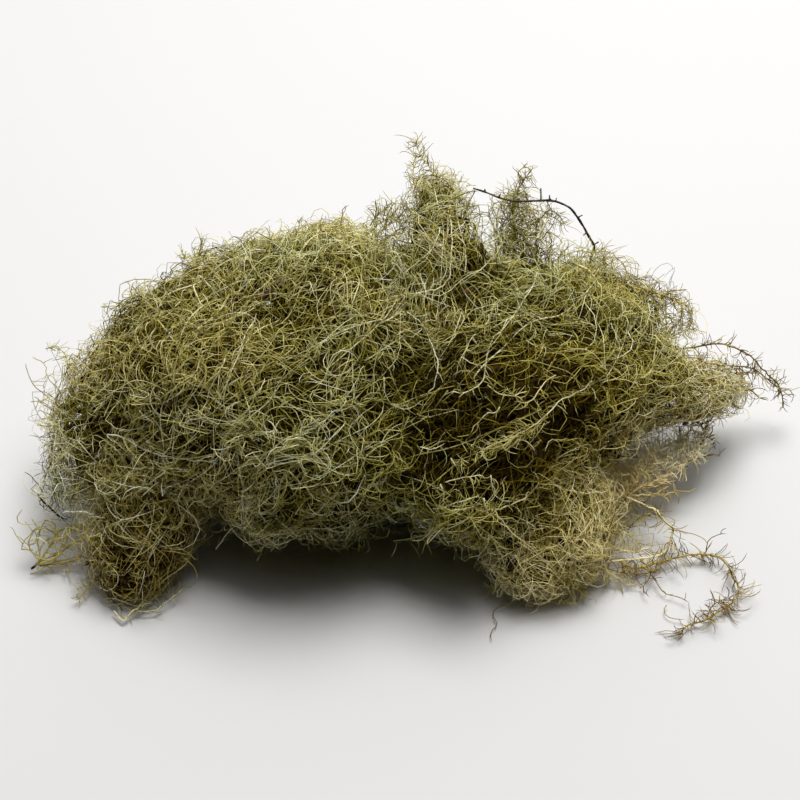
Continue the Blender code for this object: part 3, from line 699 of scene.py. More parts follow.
# Single strands and sprays that stand out at the clump's edges, and the sprigs that have nodes of their
# own. Each one: radius at its base and tip, place on the tint scale, fibrils on a millimetre, their least
# and greatest length, their place on the tint scale, their radius, and the points it runs through, each
# a pixel of the picture and a height in mm.
sprays = {
    "left_mound": [
        (0.2, 0.14, 0.52, 6, (2, 4.5), 0.5, 0.13,
         [(196, 268, 48), (198, 258, 50), (201, 249, 51.5), (203, 240, 53)]),
        (0.16, 0.12, 0.5, 5, (1.5, 3.5), 0.48, 0.13, [(190, 266, 48), (186, 258, 49), (182, 252, 49)]),
        (0.2, 0.14, 0.56, 6, (1.5, 4), 0.54, 0.13,
         [(144, 320, 38), (142, 308, 40), (140, 298, 41), (139, 289, 42)]),
        (0.1, 0.08, 0.4, 0.2, (1.5, 4), 0.5, 0.1, [(133, 298, 41), (130, 289, 42), (128.6, 279, 42)]),
        (0.1, 0.08, 0.5, 0.2, (1.5, 4), 0.5, 0.1,
         [(128, 306, 39), (115, 307, 37), (108, 312, 36), (105, 318, 35)]),
        (0.16, 0.1, 0.2, 0.4, (1.5, 3), 0.3, 0.11, [(243, 246, 56), (240, 239, 57), (231, 236, 57)]),
        (0.15, 0.1, 0.24, 0.4, (1.5, 3), 0.3, 0.11, [(272, 240, 57), (264, 236, 58), (254, 230, 58)]),
        (0.2, 0.14, 0.2, 2, (1.5, 3), 0.24, 0.12,
         [(168, 284, 46), (163, 279, 47), (161, 274, 47.5), (166, 272, 47)]),
        (0.15, 0.1, 0.2, 0.6, (1.5, 3), 0.3, 0.11,
         [(341, 225, 59), (341.5, 216, 60.5), (343, 209, 61.5), (350, 205, 61.5)]),
        (0.13, 0.15, 0.12, 0.3, (1, 2), 0.2, 0.11,
         [(374.4, 219, 60.5), (376.7, 207, 62), (375.5, 199, 62.5)]),
        (0.13, 0.15, 0.12, 0.3, (1, 2), 0.2, 0.11, [(384, 216, 60.5), (387, 205, 62), (385, 198, 62.5)]),
        (0.18, 0.12, 0.5, 5, (2, 4.5), 0.5, 0.13,
         [(370, 226, 59.5), (377, 216, 60.5), (386, 208, 61.5), (394, 202, 62)]),
        (0.16, 0.12, 0.5, 4, (2, 4), 0.5, 0.13, [(380, 224, 60), (390, 216, 61), (397, 210, 61.5)]),
        (0.13, 0.1, 0.4, 2, (1.5, 3), 0.45, 0.11, [(322, 232, 58.5), (320, 224, 60), (322, 218, 60.5)]),
        (0.13, 0.1, 0.35, 2, (1.5, 3), 0.45, 0.11, [(296, 236, 58), (299, 227, 59.5), (297, 220, 60)]),
    ],
    "right_mound": [
        (0.18, 0.12, 0.46, 4.4, (2.5, 6), 0.44, 0.12,
         [(552, 262, 46), (566, 255, 47.5), (580, 251, 48), (596, 253, 47)]),
        (0.18, 0.12, 0.5, 4.4, (2.5, 6), 0.46, 0.12,
         [(560, 268, 45), (574, 259, 47), (590, 256, 47), (604, 260, 46)]),
    ],
    "peak_tuft": [
        (0.27, 0.12, 0.62, 5, (2, 5.5), 0.5, 0.13,
         [(450, 232, 58), (447, 212, 61), (443, 196, 62.5), (436, 178, 63.5), (428, 164.5, 64.5),
          (419.6, 153.8, 65), (415.5, 143, 65)]),
        (0.22, 0.12, 0.5, 2.6, (1.5, 4), 0.48, 0.13,
         [(432, 222, 60), (425, 206, 61.5), (418, 192, 62.5), (413.5, 180, 63.2), (413.5, 166, 64),
          (416.5, 153, 65)]),
        (0.2, 0.12, 0.5, 4, (2, 5), 0.5, 0.13,
         [(445, 215, 60.5), (440, 200, 62), (430, 186, 63), (424, 172, 64)]),
        (0.1, 0.08, 0.45, 0, (1, 2), 0.5, 0.1,
         [(415, 157, 65), (410.4, 153.8, 65), (404, 150.6, 64.5), (398, 154.5, 64)]),
        (0.1, 0.08, 0.45, 0, (1, 2), 0.5, 0.1, [(420, 152, 65), (424, 146, 65.3), (430, 141, 65.5)]),
        (0.1, 0.08, 0.5, 0, (1, 2), 0.5, 0.1, [(417, 179, 63.3), (410, 176.5, 63), (403.5, 173, 63)]),
        (0.1, 0.08, 0.4, 0, (1, 2), 0.5, 0.1, [(434, 170, 64), (433, 162, 64.4), (431, 153, 64.6)]),
        (0.15, 0.1, 0.4, 1.2, (1.5, 3), 0.45, 0.11,
         [(441, 190, 62.5), (451.7, 183.5, 62.5), (460, 182, 62), (467, 182, 61.5), (470, 186, 61),
          (466, 187, 61), (466, 183, 61.3)]),
        (0.1, 0.08, 0.45, 0, (1, 2), 0.5, 0.1,
         [(453, 184, 62.4), (455.5, 177, 63), (458.5, 172, 63.3), (463, 171.5, 63)]),
        (0.13, 0.1, 0.35, 2, (1.5, 3), 0.45, 0.11, [(456, 208, 60), (459, 198, 61), (462, 192, 61.5)]),
        (0.13, 0.1, 0.4, 2.5, (1.5, 3.5), 0.45, 0.11, [(470, 216, 57), (474, 206, 58), (470, 199, 59)]),
        (0.2, 0.12, 0.5, 5, (3, 7), 0.48, 0.12,
         [(372, 240, 47), (385, 228, 50), (398, 218, 53), (408, 206, 56)]),
        (0.2, 0.12, 0.55, 5, (3, 7), 0.5, 0.12,
         [(380, 245, 47), (392, 234, 50), (403, 225, 52.5), (412, 214, 55)]),
        (0.18, 0.12, 0.45, 4.4, (2.5, 6), 0.46, 0.12,
         [(365, 238, 47), (376, 226, 49.5), (388, 219, 51), (399, 212, 53)]),
        (0.12, 0.09, 0.4, 1.8, (1.5, 3.5), 0.42, 0.1,
         [(376, 232, 48), (377, 216, 50), (375, 206, 51), (376, 198, 52)]),
        (0.12, 0.09, 0.4, 2.4, (1.5, 4), 0.44, 0.1,
         [(384, 230, 49), (388, 214, 51), (393, 205, 52.5), (398, 199, 53.5)]),
    ],
    "twig_tuft": [
        (0.25, 0.16, 0.36, 5, (2, 5), 0.4, 0.13,
         [(513, 262, 44), (513, 243, 48), (514.5, 225.7, 51), (513, 207, 54), (516, 192, 56.5),
          (522, 183, 58), (526.7, 175, 59)]),
        (0.22, 0.14, 0.34, 4.4, (2, 5), 0.38, 0.13,
         [(522, 262, 44), (523, 243, 48), (521, 225, 51), (519, 207, 54), (518, 194, 56.4)]),
        (0.2, 0.14, 0.62, 2, (1.5, 3.5), 0.3, 0.13,
         [(524, 182, 58.2), (519, 177, 58.8), (519, 170, 59.6), (525, 167, 60), (531, 170, 59.6),
          (532, 177, 58.8), (528, 181, 58.2), (523, 178, 58.6)]),
        (0.13, 0.09, 0.2, 0.6, (1, 2), 0.3, 0.1,
         [(527, 176, 59), (530, 171, 59.6), (535, 168, 59.8), (538, 167.5, 59.8)]),
        (0.2, 0.13, 0.2, 2.6, (1.5, 4), 0.36, 0.12,
         [(538, 252, 46), (536, 237, 48), (537.5, 223, 50.4), (545, 213.5, 52), (552.8, 210.4, 52.6),
          (560, 217, 51), (566.5, 225.7, 49)]),
        (0.13, 0.1, 0.3, 3, (1.5, 3.5), 0.42, 0.12,
         [(545, 213.5, 52), (554, 218, 51), (560, 222, 50), (566, 226, 49)]),
        (0.15, 0.11, 0.2, 1.6, (1.5, 3), 0.3, 0.12, [(552, 211, 52.5), (548, 204, 53.6), (545, 199, 54.2)]),
        (0.11, 0.09, 0.26, 0, (1, 2), 0.3, 0.1,
         [(524, 188, 57.6), (531, 187, 57.6), (538, 188, 57.2), (541, 195, 56.4)]),
        (0.18, 0.12, 0.2, 2.4, (1.5, 3.5), 0.34, 0.12, [(541, 240, 48), (551, 228, 49.5), (556, 222, 50)]),
        (0.18, 0.12, 0.45, 4, (2, 4.5), 0.44, 0.12,
         [(500, 245, 46), (496, 232, 48.5), (492, 222, 50.5), (490, 212, 52)]),
        (0.16, 0.12, 0.4, 3.6, (1.5, 3.5), 0.42, 0.12,
         [(505, 215, 52.5), (501, 206, 54.5), (505, 197, 56), (511, 192, 56.8)]),
    ],
    "back_right_tuft": [
        (0.2, 0.14, 0.5, 5, (2, 4.5), 0.44, 0.13, [(606, 268, 44), (603, 256, 46), (601, 248, 47)]),
        (0.15, 0.12, 0.42, 1.6, (2, 4.5), 0.42, 0.12,
         [(600, 262, 45), (609, 252, 46), (616, 257, 45), (623.9, 263.9, 43.5), (628.5, 275, 41.5),
          (636, 284, 40)]),
        (0.24, 0.18, 0.5, 3.4, (2.5, 6), 0.42, 0.13,
         [(628, 284, 40), (639, 289.4, 38), (651.4, 292, 36.5), (666.7, 296.5, 34), (678, 302.7, 31.5),
          (682, 307.8, 30), (680.5, 319, 27), (677, 326, 25)]),
        (0.14, 0.11, 0.3, 0.8, (2, 4), 0.42, 0.12,
         [(655, 296, 35), (661.6, 297.6, 34.5), (669.8, 292.4, 34), (677, 290, 33.5), (688, 289.7, 32)]),
        (0.18, 0.14, 0.12, 0.2, (2, 4), 0.3, 0.12, [(670, 294, 34), (675, 293.5, 33.4), (680, 298, 32)]),
        (0.16, 0.12, 0.46, 2.6, (2, 4.5), 0.46, 0.12,
         [(682, 307.8, 30), (691, 315, 27.5), (692, 322, 25.5), (688, 330, 24), (682, 334, 23.5)]),
        (0.11, 0.08, 0.42, 0.4, (2, 4), 0.4, 0.1, [(688, 324, 25), (696, 329, 23.5), (707, 332.5, 22)]),
        (0.34, 0.3, 0.04, 0, (2, 4), 0.3, 0.12, [(676, 325, 26), (670.5, 330.5, 25.5), (665.7, 335, 25.5)]),
        (0.3, 0.3, 0.04, 0, (2, 4), 0.3, 0.12, [(673, 326.5, 26.5), (668, 333, 26), (666, 338, 25.6)]),
        (0.42, 0.36, 0.03, 0.4, (1, 3), 0.1, 0.12, [(637, 331.5, 31), (646, 331, 30), (654.5, 330, 29)]),
        (0.5, 0.4, 0.06, 0, (1, 3), 0.1, 0.12,
         [(641, 301.6, 38.5), (645, 304.7, 38), (647.9, 310.8, 36.5), (646, 314.5, 36)]),
        (0.34, 0.28, 0.7, 1, (2, 4.5), 0.44, 0.13,
         [(572, 262, 46.5), (580, 266, 46.5), (590, 271, 46), (598, 283, 44), (610.6, 291, 42),
          (618.8, 296.5, 40.5)]),
        (0.36, 0.34, 0.8, 0, (2, 4.5), 0.44, 0.13, [(611, 292, 43), (604, 307, 41), (600, 314, 40)]),
        (0.11, 0.09, 0.36, 0, (2, 4.5), 0.44, 0.1,
         [(650, 292, 37), (655, 285, 38.5), (661, 283.5, 38.5), (664, 287, 37.5)]),
    ],
    "right_lobe": [
        (0.22, 0.15, 0.45, 3.6, (2, 5), 0.42, 0.13,
         [(700, 388, 20.5), (720, 384, 18.5), (738, 386, 16.5), (752, 392, 14)]),
        (0.2, 0.13, 0.38, 3.2, (2, 5), 0.38, 0.13,
         [(700, 398, 18), (716, 399, 16.6), (731, 403, 15), (740, 408, 13.8)]),
        (0.26, 0.18, 0.06, 3, (1.5, 4), 0.14, 0.14,
         [(690, 420, 13.5), (702, 418, 13), (713, 412, 13.4), (721, 414, 13)]),
    ],
    "left_foot": [
        (0.2, 0.14, 0.56, 3.2, (1.5, 3.6), 0.55, 0.12,
         [(110, 566, 6), (104.4, 574.6, 4), (96, 581, 3), (89, 587, 2.4), (82, 594, 2),
          (76.3, 601.4, 1.6)]),
        (0.14, 0.1, 0.56, 3.2, (1.2, 2.6), 0.55, 0.11, [(98, 580, 3), (88, 578, 3), (81, 580, 3)]),
        (0.14, 0.1, 0.56, 2.6, (1.2, 2.6), 0.55, 0.11, [(92, 584, 2.6), (82, 587, 2), (76, 592, 1.6)]),
        (0.3, 0.26, 0.98, 0.3, (1.5, 4), 0.7, 0.13,
         [(63, 513, 13), (83, 512, 14), (100.4, 517.6, 15), (115.7, 523, 16), (127, 531, 15)]),
        (0.26, 0.22, 0.84, 0.5, (2, 4), 0.6, 0.13,
         [(96.6, 561.6, 7), (106, 571, 6), (119.5, 575, 5.6), (134.8, 565.4, 7), (139, 561, 8)]),
        (0.22, 0.2, 0.1, 0.5, (2, 4), 0.12, 0.13,
         [(104, 576, 4.5), (105, 586.5, 3.4), (110, 598, 2.4), (119.5, 605.6, 1.8)]),
        (0.26, 0.24, 0.8, 0.6, (2, 4), 0.6, 0.13,
         [(113.8, 611, 1.6), (123, 622, 1), (129, 615, 1.8), (144, 601.8, 3), (152, 586.5, 5)]),
        (0.18, 0.14, 0.72, 0.5, (2, 4), 0.5, 0.12,
         [(123, 619, 1.2), (137, 612, 1.6), (154, 611, 1.8), (169, 600, 2.4), (184, 588, 3.4)]),
        (0.24, 0.2, 0.88, 0.8, (2, 5), 0.6, 0.13,
         [(148, 549, 9), (147, 538.6, 11), (154, 535.7, 11.5), (159.7, 540, 11), (156, 547, 10),
          (148, 552, 9)]),
        (0.26, 0.22, 0.8, 1.2, (2, 5), 0.6, 0.13,
         [(117.6, 498, 19), (133, 502, 19), (142.5, 517.6, 16), (154, 521, 15), (158, 531, 13),
          (150, 541, 12)]),
        (0.24, 0.2, 0.8, 0.4, (2, 5), 0.6, 0.13,
         [(100, 520, 14), (95, 527, 12.5), (100, 533, 12), (108, 529, 13), (104, 521, 14)]),
        (0.22, 0.18, 0.74, 1, (2, 5), 0.5, 0.13,
         [(128, 527, 16), (140, 537, 13.5), (152, 548, 10.5), (168, 556, 8.5), (186, 562, 7)]),
    ],
    "left_side_tuft": [
        (0.15, 0.2, 0.55, 3.4, (1.5, 3.6), 0.52, 0.13,
         [(46, 349, 26), (57, 346, 27), (64, 353, 27), (69, 365, 27), (74, 378, 28), (76, 388, 28)]),
        (0.11, 0.16, 0.3, 0.3, (2, 5), 0.4, 0.11,
         [(26, 364, 22), (28, 373, 22), (33, 384, 22), (48, 398, 23), (61, 412, 24), (72, 424, 24)]),
        (0.11, 0.14, 0.42, 0.3, (2, 4), 0.4, 0.11,
         [(33, 357, 23), (45, 364, 23), (46, 372.5, 24), (54, 385, 25), (64, 396, 26)]),
        (0.11, 0.15, 0.38, 0.4, (2, 4), 0.4, 0.11,
         [(35, 397, 20), (48, 405, 21), (57, 412, 22), (66, 418, 23)]),
        (0.1, 0.13, 0.4, 0.2, (2, 4), 0.4, 0.11,
         [(31, 402, 20), (40, 402.5, 20), (52, 410, 21), (60, 417, 22)]),
        (0.1, 0.13, 0.45, 0.2, (2, 4), 0.4, 0.11, [(38, 411, 18), (47, 413, 19), (54, 419, 20)]),
        (0.12, 0.16, 0.18, 0.3, (2, 4), 0.2, 0.12,
         [(90.6, 334.6, 32), (94, 345, 32), (92.4, 358, 31), (90, 370, 30)]),
        (0.12, 0.15, 0.22, 0.6, (2, 4), 0.3, 0.12,
         [(76.7, 349, 29), (88.7, 352, 30), (101.7, 354, 31), (112, 360, 32)]),
        (0.15, 0.15, 0.14, 0.2, (2, 4), 0.3, 0.12,
         [(100, 355, 31), (92, 357, 30.5), (86, 359, 30), (87, 364, 29.5), (92.4, 370, 29)]),
        (0.11, 0.15, 0.22, 0.3, (2, 4), 0.3, 0.12,
         [(25, 472, 14), (33, 478, 14), (39.7, 486, 13.5), (44, 496, 13)]),
        (0.24, 0.28, 0.08, 0.8, (1.5, 4), 0.16, 0.14,
         [(38, 494.5, 12), (47, 504.7, 11.6), (59, 515.8, 11), (66, 520, 10.6)]),
        (0.16, 0.16, 0.3, 0.3, (2, 4), 0.4, 0.12,
         [(60, 390, 25), (57, 402, 24), (60, 412, 23.5), (66, 420, 23)]),
        (0.2, 0.2, 0.36, 2.6, (2, 6), 0.38, 0.13,
         [(57, 420, 21), (54, 440, 19), (52, 455, 17.5), (48, 470, 16), (44, 484, 14.6)]),
        (0.22, 0.2, 0.33, 2.8, (2, 6), 0.38, 0.13,
         [(70, 395, 26), (66, 410, 25), (68, 430, 22), (64, 450, 19.5), (60, 475, 16.5), (58, 500, 13)]),
        (0.24, 0.2, 0.38, 2.8, (2.5, 6.5), 0.4, 0.13,
         [(84, 385, 29), (86, 405, 27), (80, 425, 24.5), (84, 450, 21), (78, 480, 17), (70, 506, 13)]),
        (0.15, 0.1, 0.16, 1.5, (2, 4), 0.14, 0.12, [(72, 424, 23), (68, 414, 24.5), (66, 402, 26)]),
        (0.15, 0.1, 0.13, 1.5, (2, 4), 0.14, 0.12, [(72, 424, 23), (71, 411, 25), (71, 399, 26.5)]),
        (0.15, 0.1, 0.16, 1.5, (2, 4), 0.14, 0.12, [(73, 424, 23), (75, 411, 25), (78, 398, 27)]),
    ],
    "front_right_tuft": [
        (0.15, 0.11, 0.34, 0, (2, 4.5), 0.44, 0.13,
         [(522.9, 594, 3), (508.6, 603, 1.6), (496, 608.6, 1), (493.4, 615.7, 0.8), (497.9, 624.6, 0.7),
          (490.7, 633.6, 0.6), (492.5, 642, 0.5)]),
        (0.22, 0.14, 0.76, 2.2, (2, 4.5), 0.52, 0.13,
         [(553, 578, 5), (569, 585, 3), (580, 581.8, 3), (594, 581.8, 2.6), (605, 576, 2.6),
          (614, 583.6, 1.4)]),
        (0.18, 0.12, 0.7, 2.2, (1.5, 3.5), 0.6, 0.12, [(500, 580, 4), (494, 588, 2.4), (485, 587, 1.6)]),
        (0.18, 0.12, 0.5, 2.6, (1.5, 4), 0.5, 0.12, [(545, 590, 3), (560, 600, 1.4), (573, 601, 1)]),
        (0.15, 0.1, 0.42, 2.2, (2, 5), 0.42, 0.12,
         [(596, 515, 9), (606, 508, 9), (618, 506, 8.5), (630, 512, 8), (636, 522, 7)]),
        (0.15, 0.1, 0.2, 1.4, (2, 4.5), 0.3, 0.12,
         [(628, 530, 6), (634, 522, 7), (645, 515, 7.5), (652, 518, 7.5)]),
        (0.2, 0.14, 0.34, 1.8, (2, 5), 0.44, 0.12,
         [(598, 545, 7), (608, 535, 7), (622, 528, 7), (640, 520, 7), (650, 510, 8)]),
        (0.26, 0.2, 0.88, 2.6, (2.5, 6), 0.66, 0.13,
         [(590, 530, 9), (602, 540, 7), (615, 548, 6), (632, 552, 5), (652, 548, 4.5)]),
        (0.22, 0.15, 0.64, 2.8, (2.5, 6), 0.56, 0.13,
         [(585, 510, 11), (600, 520, 9.5), (612, 527, 8.5), (628, 534, 7.5), (640, 545, 6)]),
        (0.22, 0.16, 0.9, 2.8, (3, 7), 0.72, 0.13,
         [(580, 500, 12), (596, 505, 11), (612, 503, 10), (625, 498, 10)]),
        (0.2, 0.14, 0.76, 2.4, (2.5, 5.5), 0.64, 0.13,
         [(575, 560, 6), (590, 567, 5), (605, 570, 4), (620, 580, 2.5), (628, 586, 1.6)]),
        (0.2, 0.12, 0.76, 2.6, (2, 5), 0.64, 0.13, [(560, 575, 5), (578, 590, 2.5), (590, 600, 1.2)]),
        (0.2, 0.14, 0.82, 3, (3, 7), 0.66, 0.13,
         [(600, 440, 17), (612, 447, 15), (622, 455, 13), (632, 466, 12)]),
        (0.22, 0.15, 0.86, 3, (3, 7), 0.7, 0.13,
         [(590, 452, 17), (604, 458, 15), (618, 466, 13), (640, 474, 11), (660, 470, 10)]),
    ],
    "trailing_strand": [
        (0.28, 0.22, 0.44, 3.6, (2.2, 6), 0.28, 0.14,
         [(619, 561, 4.5), (636, 568, 3), (655, 563.7, 2.6), (677, 557.8, 2.4), (689, 555, 2.4),
          (701, 554, 2.4), (715.4, 556.4, 2.3), (724, 560.8, 2.2), (730, 569.6, 2.2), (733, 578.4, 2),
          (739, 587, 2), (739.6, 594.5, 2), (731.6, 603.3, 1.8), (721, 610.6, 1.6), (709.6, 618, 1.5),
          (696.4, 623, 1.3), (687.6, 625.3, 1.2), (680, 636, 0.8)]),
        (0.34, 0.26, 0.86, 2.2, (2.5, 6.5), 0.4, 0.15,
         [(600, 472, 12), (608, 478.6, 12), (624.5, 495.5, 10.5), (637.7, 502, 9.5), (649.4, 507, 8.5),
          (658, 512, 8), (664, 521, 7), (671.4, 525.6, 6), (673.6, 531.4, 5.2), (670.7, 537.3, 4.6),
          (668.5, 547, 4), (660, 555, 3.6), (642, 558.6, 3.8), (619, 561, 4.5), (600, 561, 5.5),
          (582, 552, 7), (572, 536, 9), (564, 523, 11)]),
        (0.17, 0.12, 0.25, 0.6, (1.5, 3), 0.25, 0.146,
         [(640, 561, 3), (652, 573, 2.4), (643, 588, 1.8), (650, 598, 1.4)]),
        (0.15, 0.11, 0.3, 0.4, (1.5, 3), 0.3, 0.146,
         [(652, 575, 2), (664, 592, 1.6), (678, 597, 1.6), (690, 603, 1.8)]),
        (0.14, 0.1, 0.42, 0.1, (1.5, 3), 0.3, 0.146,
         [(668, 529, 6), (690, 533, 5), (706, 540, 4.2), (707, 548, 3.2)]),
        (0.16, 0.1, 0.2, 0.1, (1.5, 3), 0.3, 0.146,
         [(706, 552, 2.6), (709, 540, 4), (718, 534.5, 5), (728, 534, 5.2)]),
        (0.14, 0.1, 0.4, 0, (1.5, 3), 0.3, 0.146,
         [(667, 605, 1), (664, 612, 1), (671, 618, 1), (686, 620, 1.2)]),
        (0.16, 0.12, 0.3, 2.6, (1.5, 3.6), 0.26, 0.171,
         [(707, 617, 1.6), (712, 607, 2.6), (722, 600, 3), (729, 597, 2.6)]),
        (0.2, 0.14, 0.3, 2, (2, 4.5), 0.36, 0.171,
         [(600, 566, 5), (618, 572, 3.4), (640, 574, 2.4), (657, 571, 2.2)]),
    ],
    # The right branch's strands and fibrils sit at the palest end of the tint scale: partly their own pale
    # colour, partly painted light that lifts them in the shade under the right lobe.
    "right_branch": [
        (0.28, 0.22, 0.97, 7, (3, 7), 0.95, 0.203,
         [(600, 472, 12), (610, 471, 12), (630, 470, 11.5), (642, 462.5, 11.5), (654, 452, 11.5),
          (674, 443.5, 12), (689, 442, 12), (700, 446, 11.5)]),
        (0.26, 0.2, 0.97, 7, (3, 7.5), 0.95, 0.203,
         [(606, 478, 11), (622, 477, 10.5), (640, 470, 10.5), (655, 460, 11), (672, 452, 11.5),
          (692, 450, 11.5)]),
        (0.36, 0.26, 0.97, 6, (2.5, 6.5), 0.95, 0.203,
         [(561.5, 489, 14), (579, 492, 12.5), (596.7, 492.6, 11), (611, 491, 10), (636, 489, 8.5),
          (651, 483.8, 8.5), (661, 478.7, 9), (668.5, 472.8, 9.5), (678.8, 467, 10), (689, 460, 10.5),
          (698, 452, 11), (704.4, 442, 11.5), (703.7, 431.7, 13)]),
        (0.27, 0.18, 0.92, 2, (2, 5.5), 0.66, 0.189,
         [(611, 491, 10), (626, 496, 9), (642, 494.8, 8), (662.6, 496, 6.5), (677, 490, 6.5)]),
        (0.3, 0.2, 0.06, 3, (1.5, 4), 0.08, 0.17,
         [(704, 431, 13), (700, 424, 15), (694, 420, 16.5), (686, 416, 18)]),
        (0.26, 0.16, 0.08, 2.5, (1.5, 4), 0.12, 0.16,
         [(704, 431, 13), (708, 422, 15), (716, 414, 16.5), (722, 410, 17)]),
        (0.18, 0.12, 0.25, 2.5, (1.5, 3.5), 0.2, 0.189,
         [(700, 446, 11.5), (707, 436, 12), (712, 441, 11.6), (717, 447, 11)]),
        (0.16, 0.1, 0.3, 1.2, (1.5, 3), 0.25, 0.162,
         [(678, 467, 10), (696, 459, 10), (712, 455, 10), (721, 457, 9)]),
    ],
    "right_sprig": [
        (0.27, 0.2, 0.27, 2.4, (1.5, 4.5), 0.27, 0.153,
         [(657.4, 332.8, 27), (667.6, 344.2, 25), (676.5, 349.3, 24), (694.4, 347.4, 24),
          (712.2, 343.6, 25), (726.3, 344.9, 25), (737.8, 349.3, 24), (750.5, 355.7, 22),
          (759.4, 365.9, 19.5), (768.4, 374.8, 17), (778.6, 386.3, 13.5), (782.4, 396.5, 11),
          (783.7, 408, 8)]),
        (0.25, 0.19, 0.3, 2.6, (1.5, 5), 0.3, 0.153,
         [(644.6, 364, 23), (663.8, 362, 22), (681.6, 362.7, 21.5), (694.4, 362, 21.5),
          (709.7, 363.4, 21.5), (722.4, 365.9, 21), (737.8, 366.6, 20), (751.8, 368.5, 18.5),
          (762, 374.8, 17), (771, 382.5, 15), (779, 388.5, 13.2)]),
        (0.23, 0.16, 0.36, 3, (2, 5.5), 0.38, 0.153,
         [(660, 385, 20), (689.3, 377.4, 19), (711, 373.6, 19), (722.4, 380, 17.5), (739, 385, 15.5),
          (751.8, 391.4, 13.5), (760.7, 399, 11.5)]),
        (0.22, 0.16, 0.34, 3, (2, 5), 0.36, 0.153,
         [(722.4, 380, 17.5), (734, 374, 18), (746, 372, 18), (757, 374, 17.5)]),
        (0.38, 0.3, 0.5, 0.2, (1.5, 3), 0.3, 0.153,
         [(668, 342, 26), (676.5, 351.9, 25), (689.3, 363.4, 24), (698.2, 372.3, 23)]),
        (0.14, 0.1, 0.34, 0.4, (1.5, 3), 0.3, 0.142,
         [(781, 392, 12), (788, 389, 12), (794, 397, 10), (790, 404, 9)]),
        (0.16, 0.1, 0.28, 0.6, (1.5, 3), 0.25, 0.142, [(775, 383, 14.5), (783, 378, 15), (788, 376, 15)]),
        (0.3, 0.24, 0.12, 2, (2, 5), 0.2, 0.165,
         [(640, 345, 25), (655, 347, 25), (668, 346, 25), (680, 350, 24)]),
    ],
    "left_sprig": [
        (0.3, 0.2, 0.52, 0.5, (3, 7), 0.54, 0.202,
         [(35, 566, 2.2), (40.7, 557, 4), (38.8, 544.4, 6), (39.7, 531.5, 8), (48, 518.5, 10)]),
        (0.33, 0.24, 0.54, 0.8, (3, 8), 0.56, 0.202,
         [(36, 565.5, 2.4), (46, 551.8, 4.5), (53.6, 540.7, 6.5), (61, 529.6, 8.5), (81, 526.8, 10.5),
          (98, 524, 11)]),
        (0.32, 0.24, 0.52, 0.8, (3, 8), 0.56, 0.202,
         [(38, 565, 2.4), (55.5, 558, 4), (70, 546, 6), (81, 539, 8), (98, 538, 9)]),
        (0.26, 0.2, 0.47, 0.6, (3, 7), 0.54, 0.19,
         [(40, 566, 2), (61, 563, 2.6), (77.6, 559, 3.6), (88.7, 551.8, 5.4), (96, 548, 6)]),
        (0.2, 0.16, 0.57, 0.3, (3, 6), 0.56, 0.179,
         [(33, 550, 5), (24, 550, 5.4), (22, 546, 6), (27.7, 537, 7.4), (37, 527.8, 9), (46, 526, 10)]),
        (0.2, 0.16, 0.57, 0.3, (3, 6), 0.56, 0.179,
         [(40, 556, 4), (30, 551, 5), (30.5, 539, 7), (37, 528.7, 9), (50, 533, 9)]),
        (0.22, 0.16, 0.53, 0.5, (3, 6), 0.56, 0.179,
         [(46, 551.8, 4.5), (56, 556, 4), (64.7, 548, 6), (72, 543, 7), (81, 550, 6)]),
        (0.26, 0.2, 0.55, 0.6, (3, 7), 0.56, 0.19,
         [(53.6, 540.7, 6.5), (63, 539, 7.5), (74, 529.6, 9.5), (77, 520, 11.5)]),
        (0.22, 0.16, 0.55, 0.5, (3, 6), 0.56, 0.179,
         [(44, 520, 10), (54, 523, 9.5), (60, 535, 8), (70, 534, 8.6), (72, 524, 10)]),
        (0.2, 0.15, 0.57, 0.4, (3, 6), 0.56, 0.179,
         [(66, 527, 9.8), (66, 540, 8), (58, 548, 6), (50, 545, 5.8), (47, 534, 7.6)]),
        (0.15, 0.11, 0.59, 0.1, (2, 4), 0.56, 0.134,
         [(22.5, 509, 14), (17.5, 516.7, 13), (19, 523, 12), (29.6, 525, 11), (41.6, 521, 10.6),
          (55.5, 522, 10.6)]),
        (0.13, 0.1, 0.53, 0.2, (2, 4), 0.56, 0.134,
         [(30, 574, 1.2), (37, 571, 1.6), (50, 566, 2), (66, 571, 1.4), (78, 573, 1.2)]),
        (0.36, 0.44, 0.03, 0, (2, 4), 0.1, 0.13,
         [(31.5, 569, 1.2), (34.5, 566.5, 2), (38, 563, 2.6), (41, 559.5, 3.4)]),
    ],
}
sprigSlots = dict(trailing_strand="lichen_pale", right_branch="lichen_pale", right_sprig="lichen_brown",
                  left_sprig="lichen_brown")

# How a traced strand is made: the spacing of its points, how much it is crinkled, and how much darker it is
# than its place on the tint scale; its fibrils' points, where the longest are short and where not; how much
# longer they may get, how they bend and vary, and their ends' share of the radius given.
tracedStrand = dict(spacing=1.2, fineSteps=12, fewest=4, crinkle=0.1, darker=0.006)
tracedFibrils = dict(points=(5, 6), shortUnder=5.5, longer=1.25, bend=(0.1, 0.5), margin=0.15,
                     radii=(0.7, 0.54), tintSpread=0.11, thickness=(0.8, 1.2))


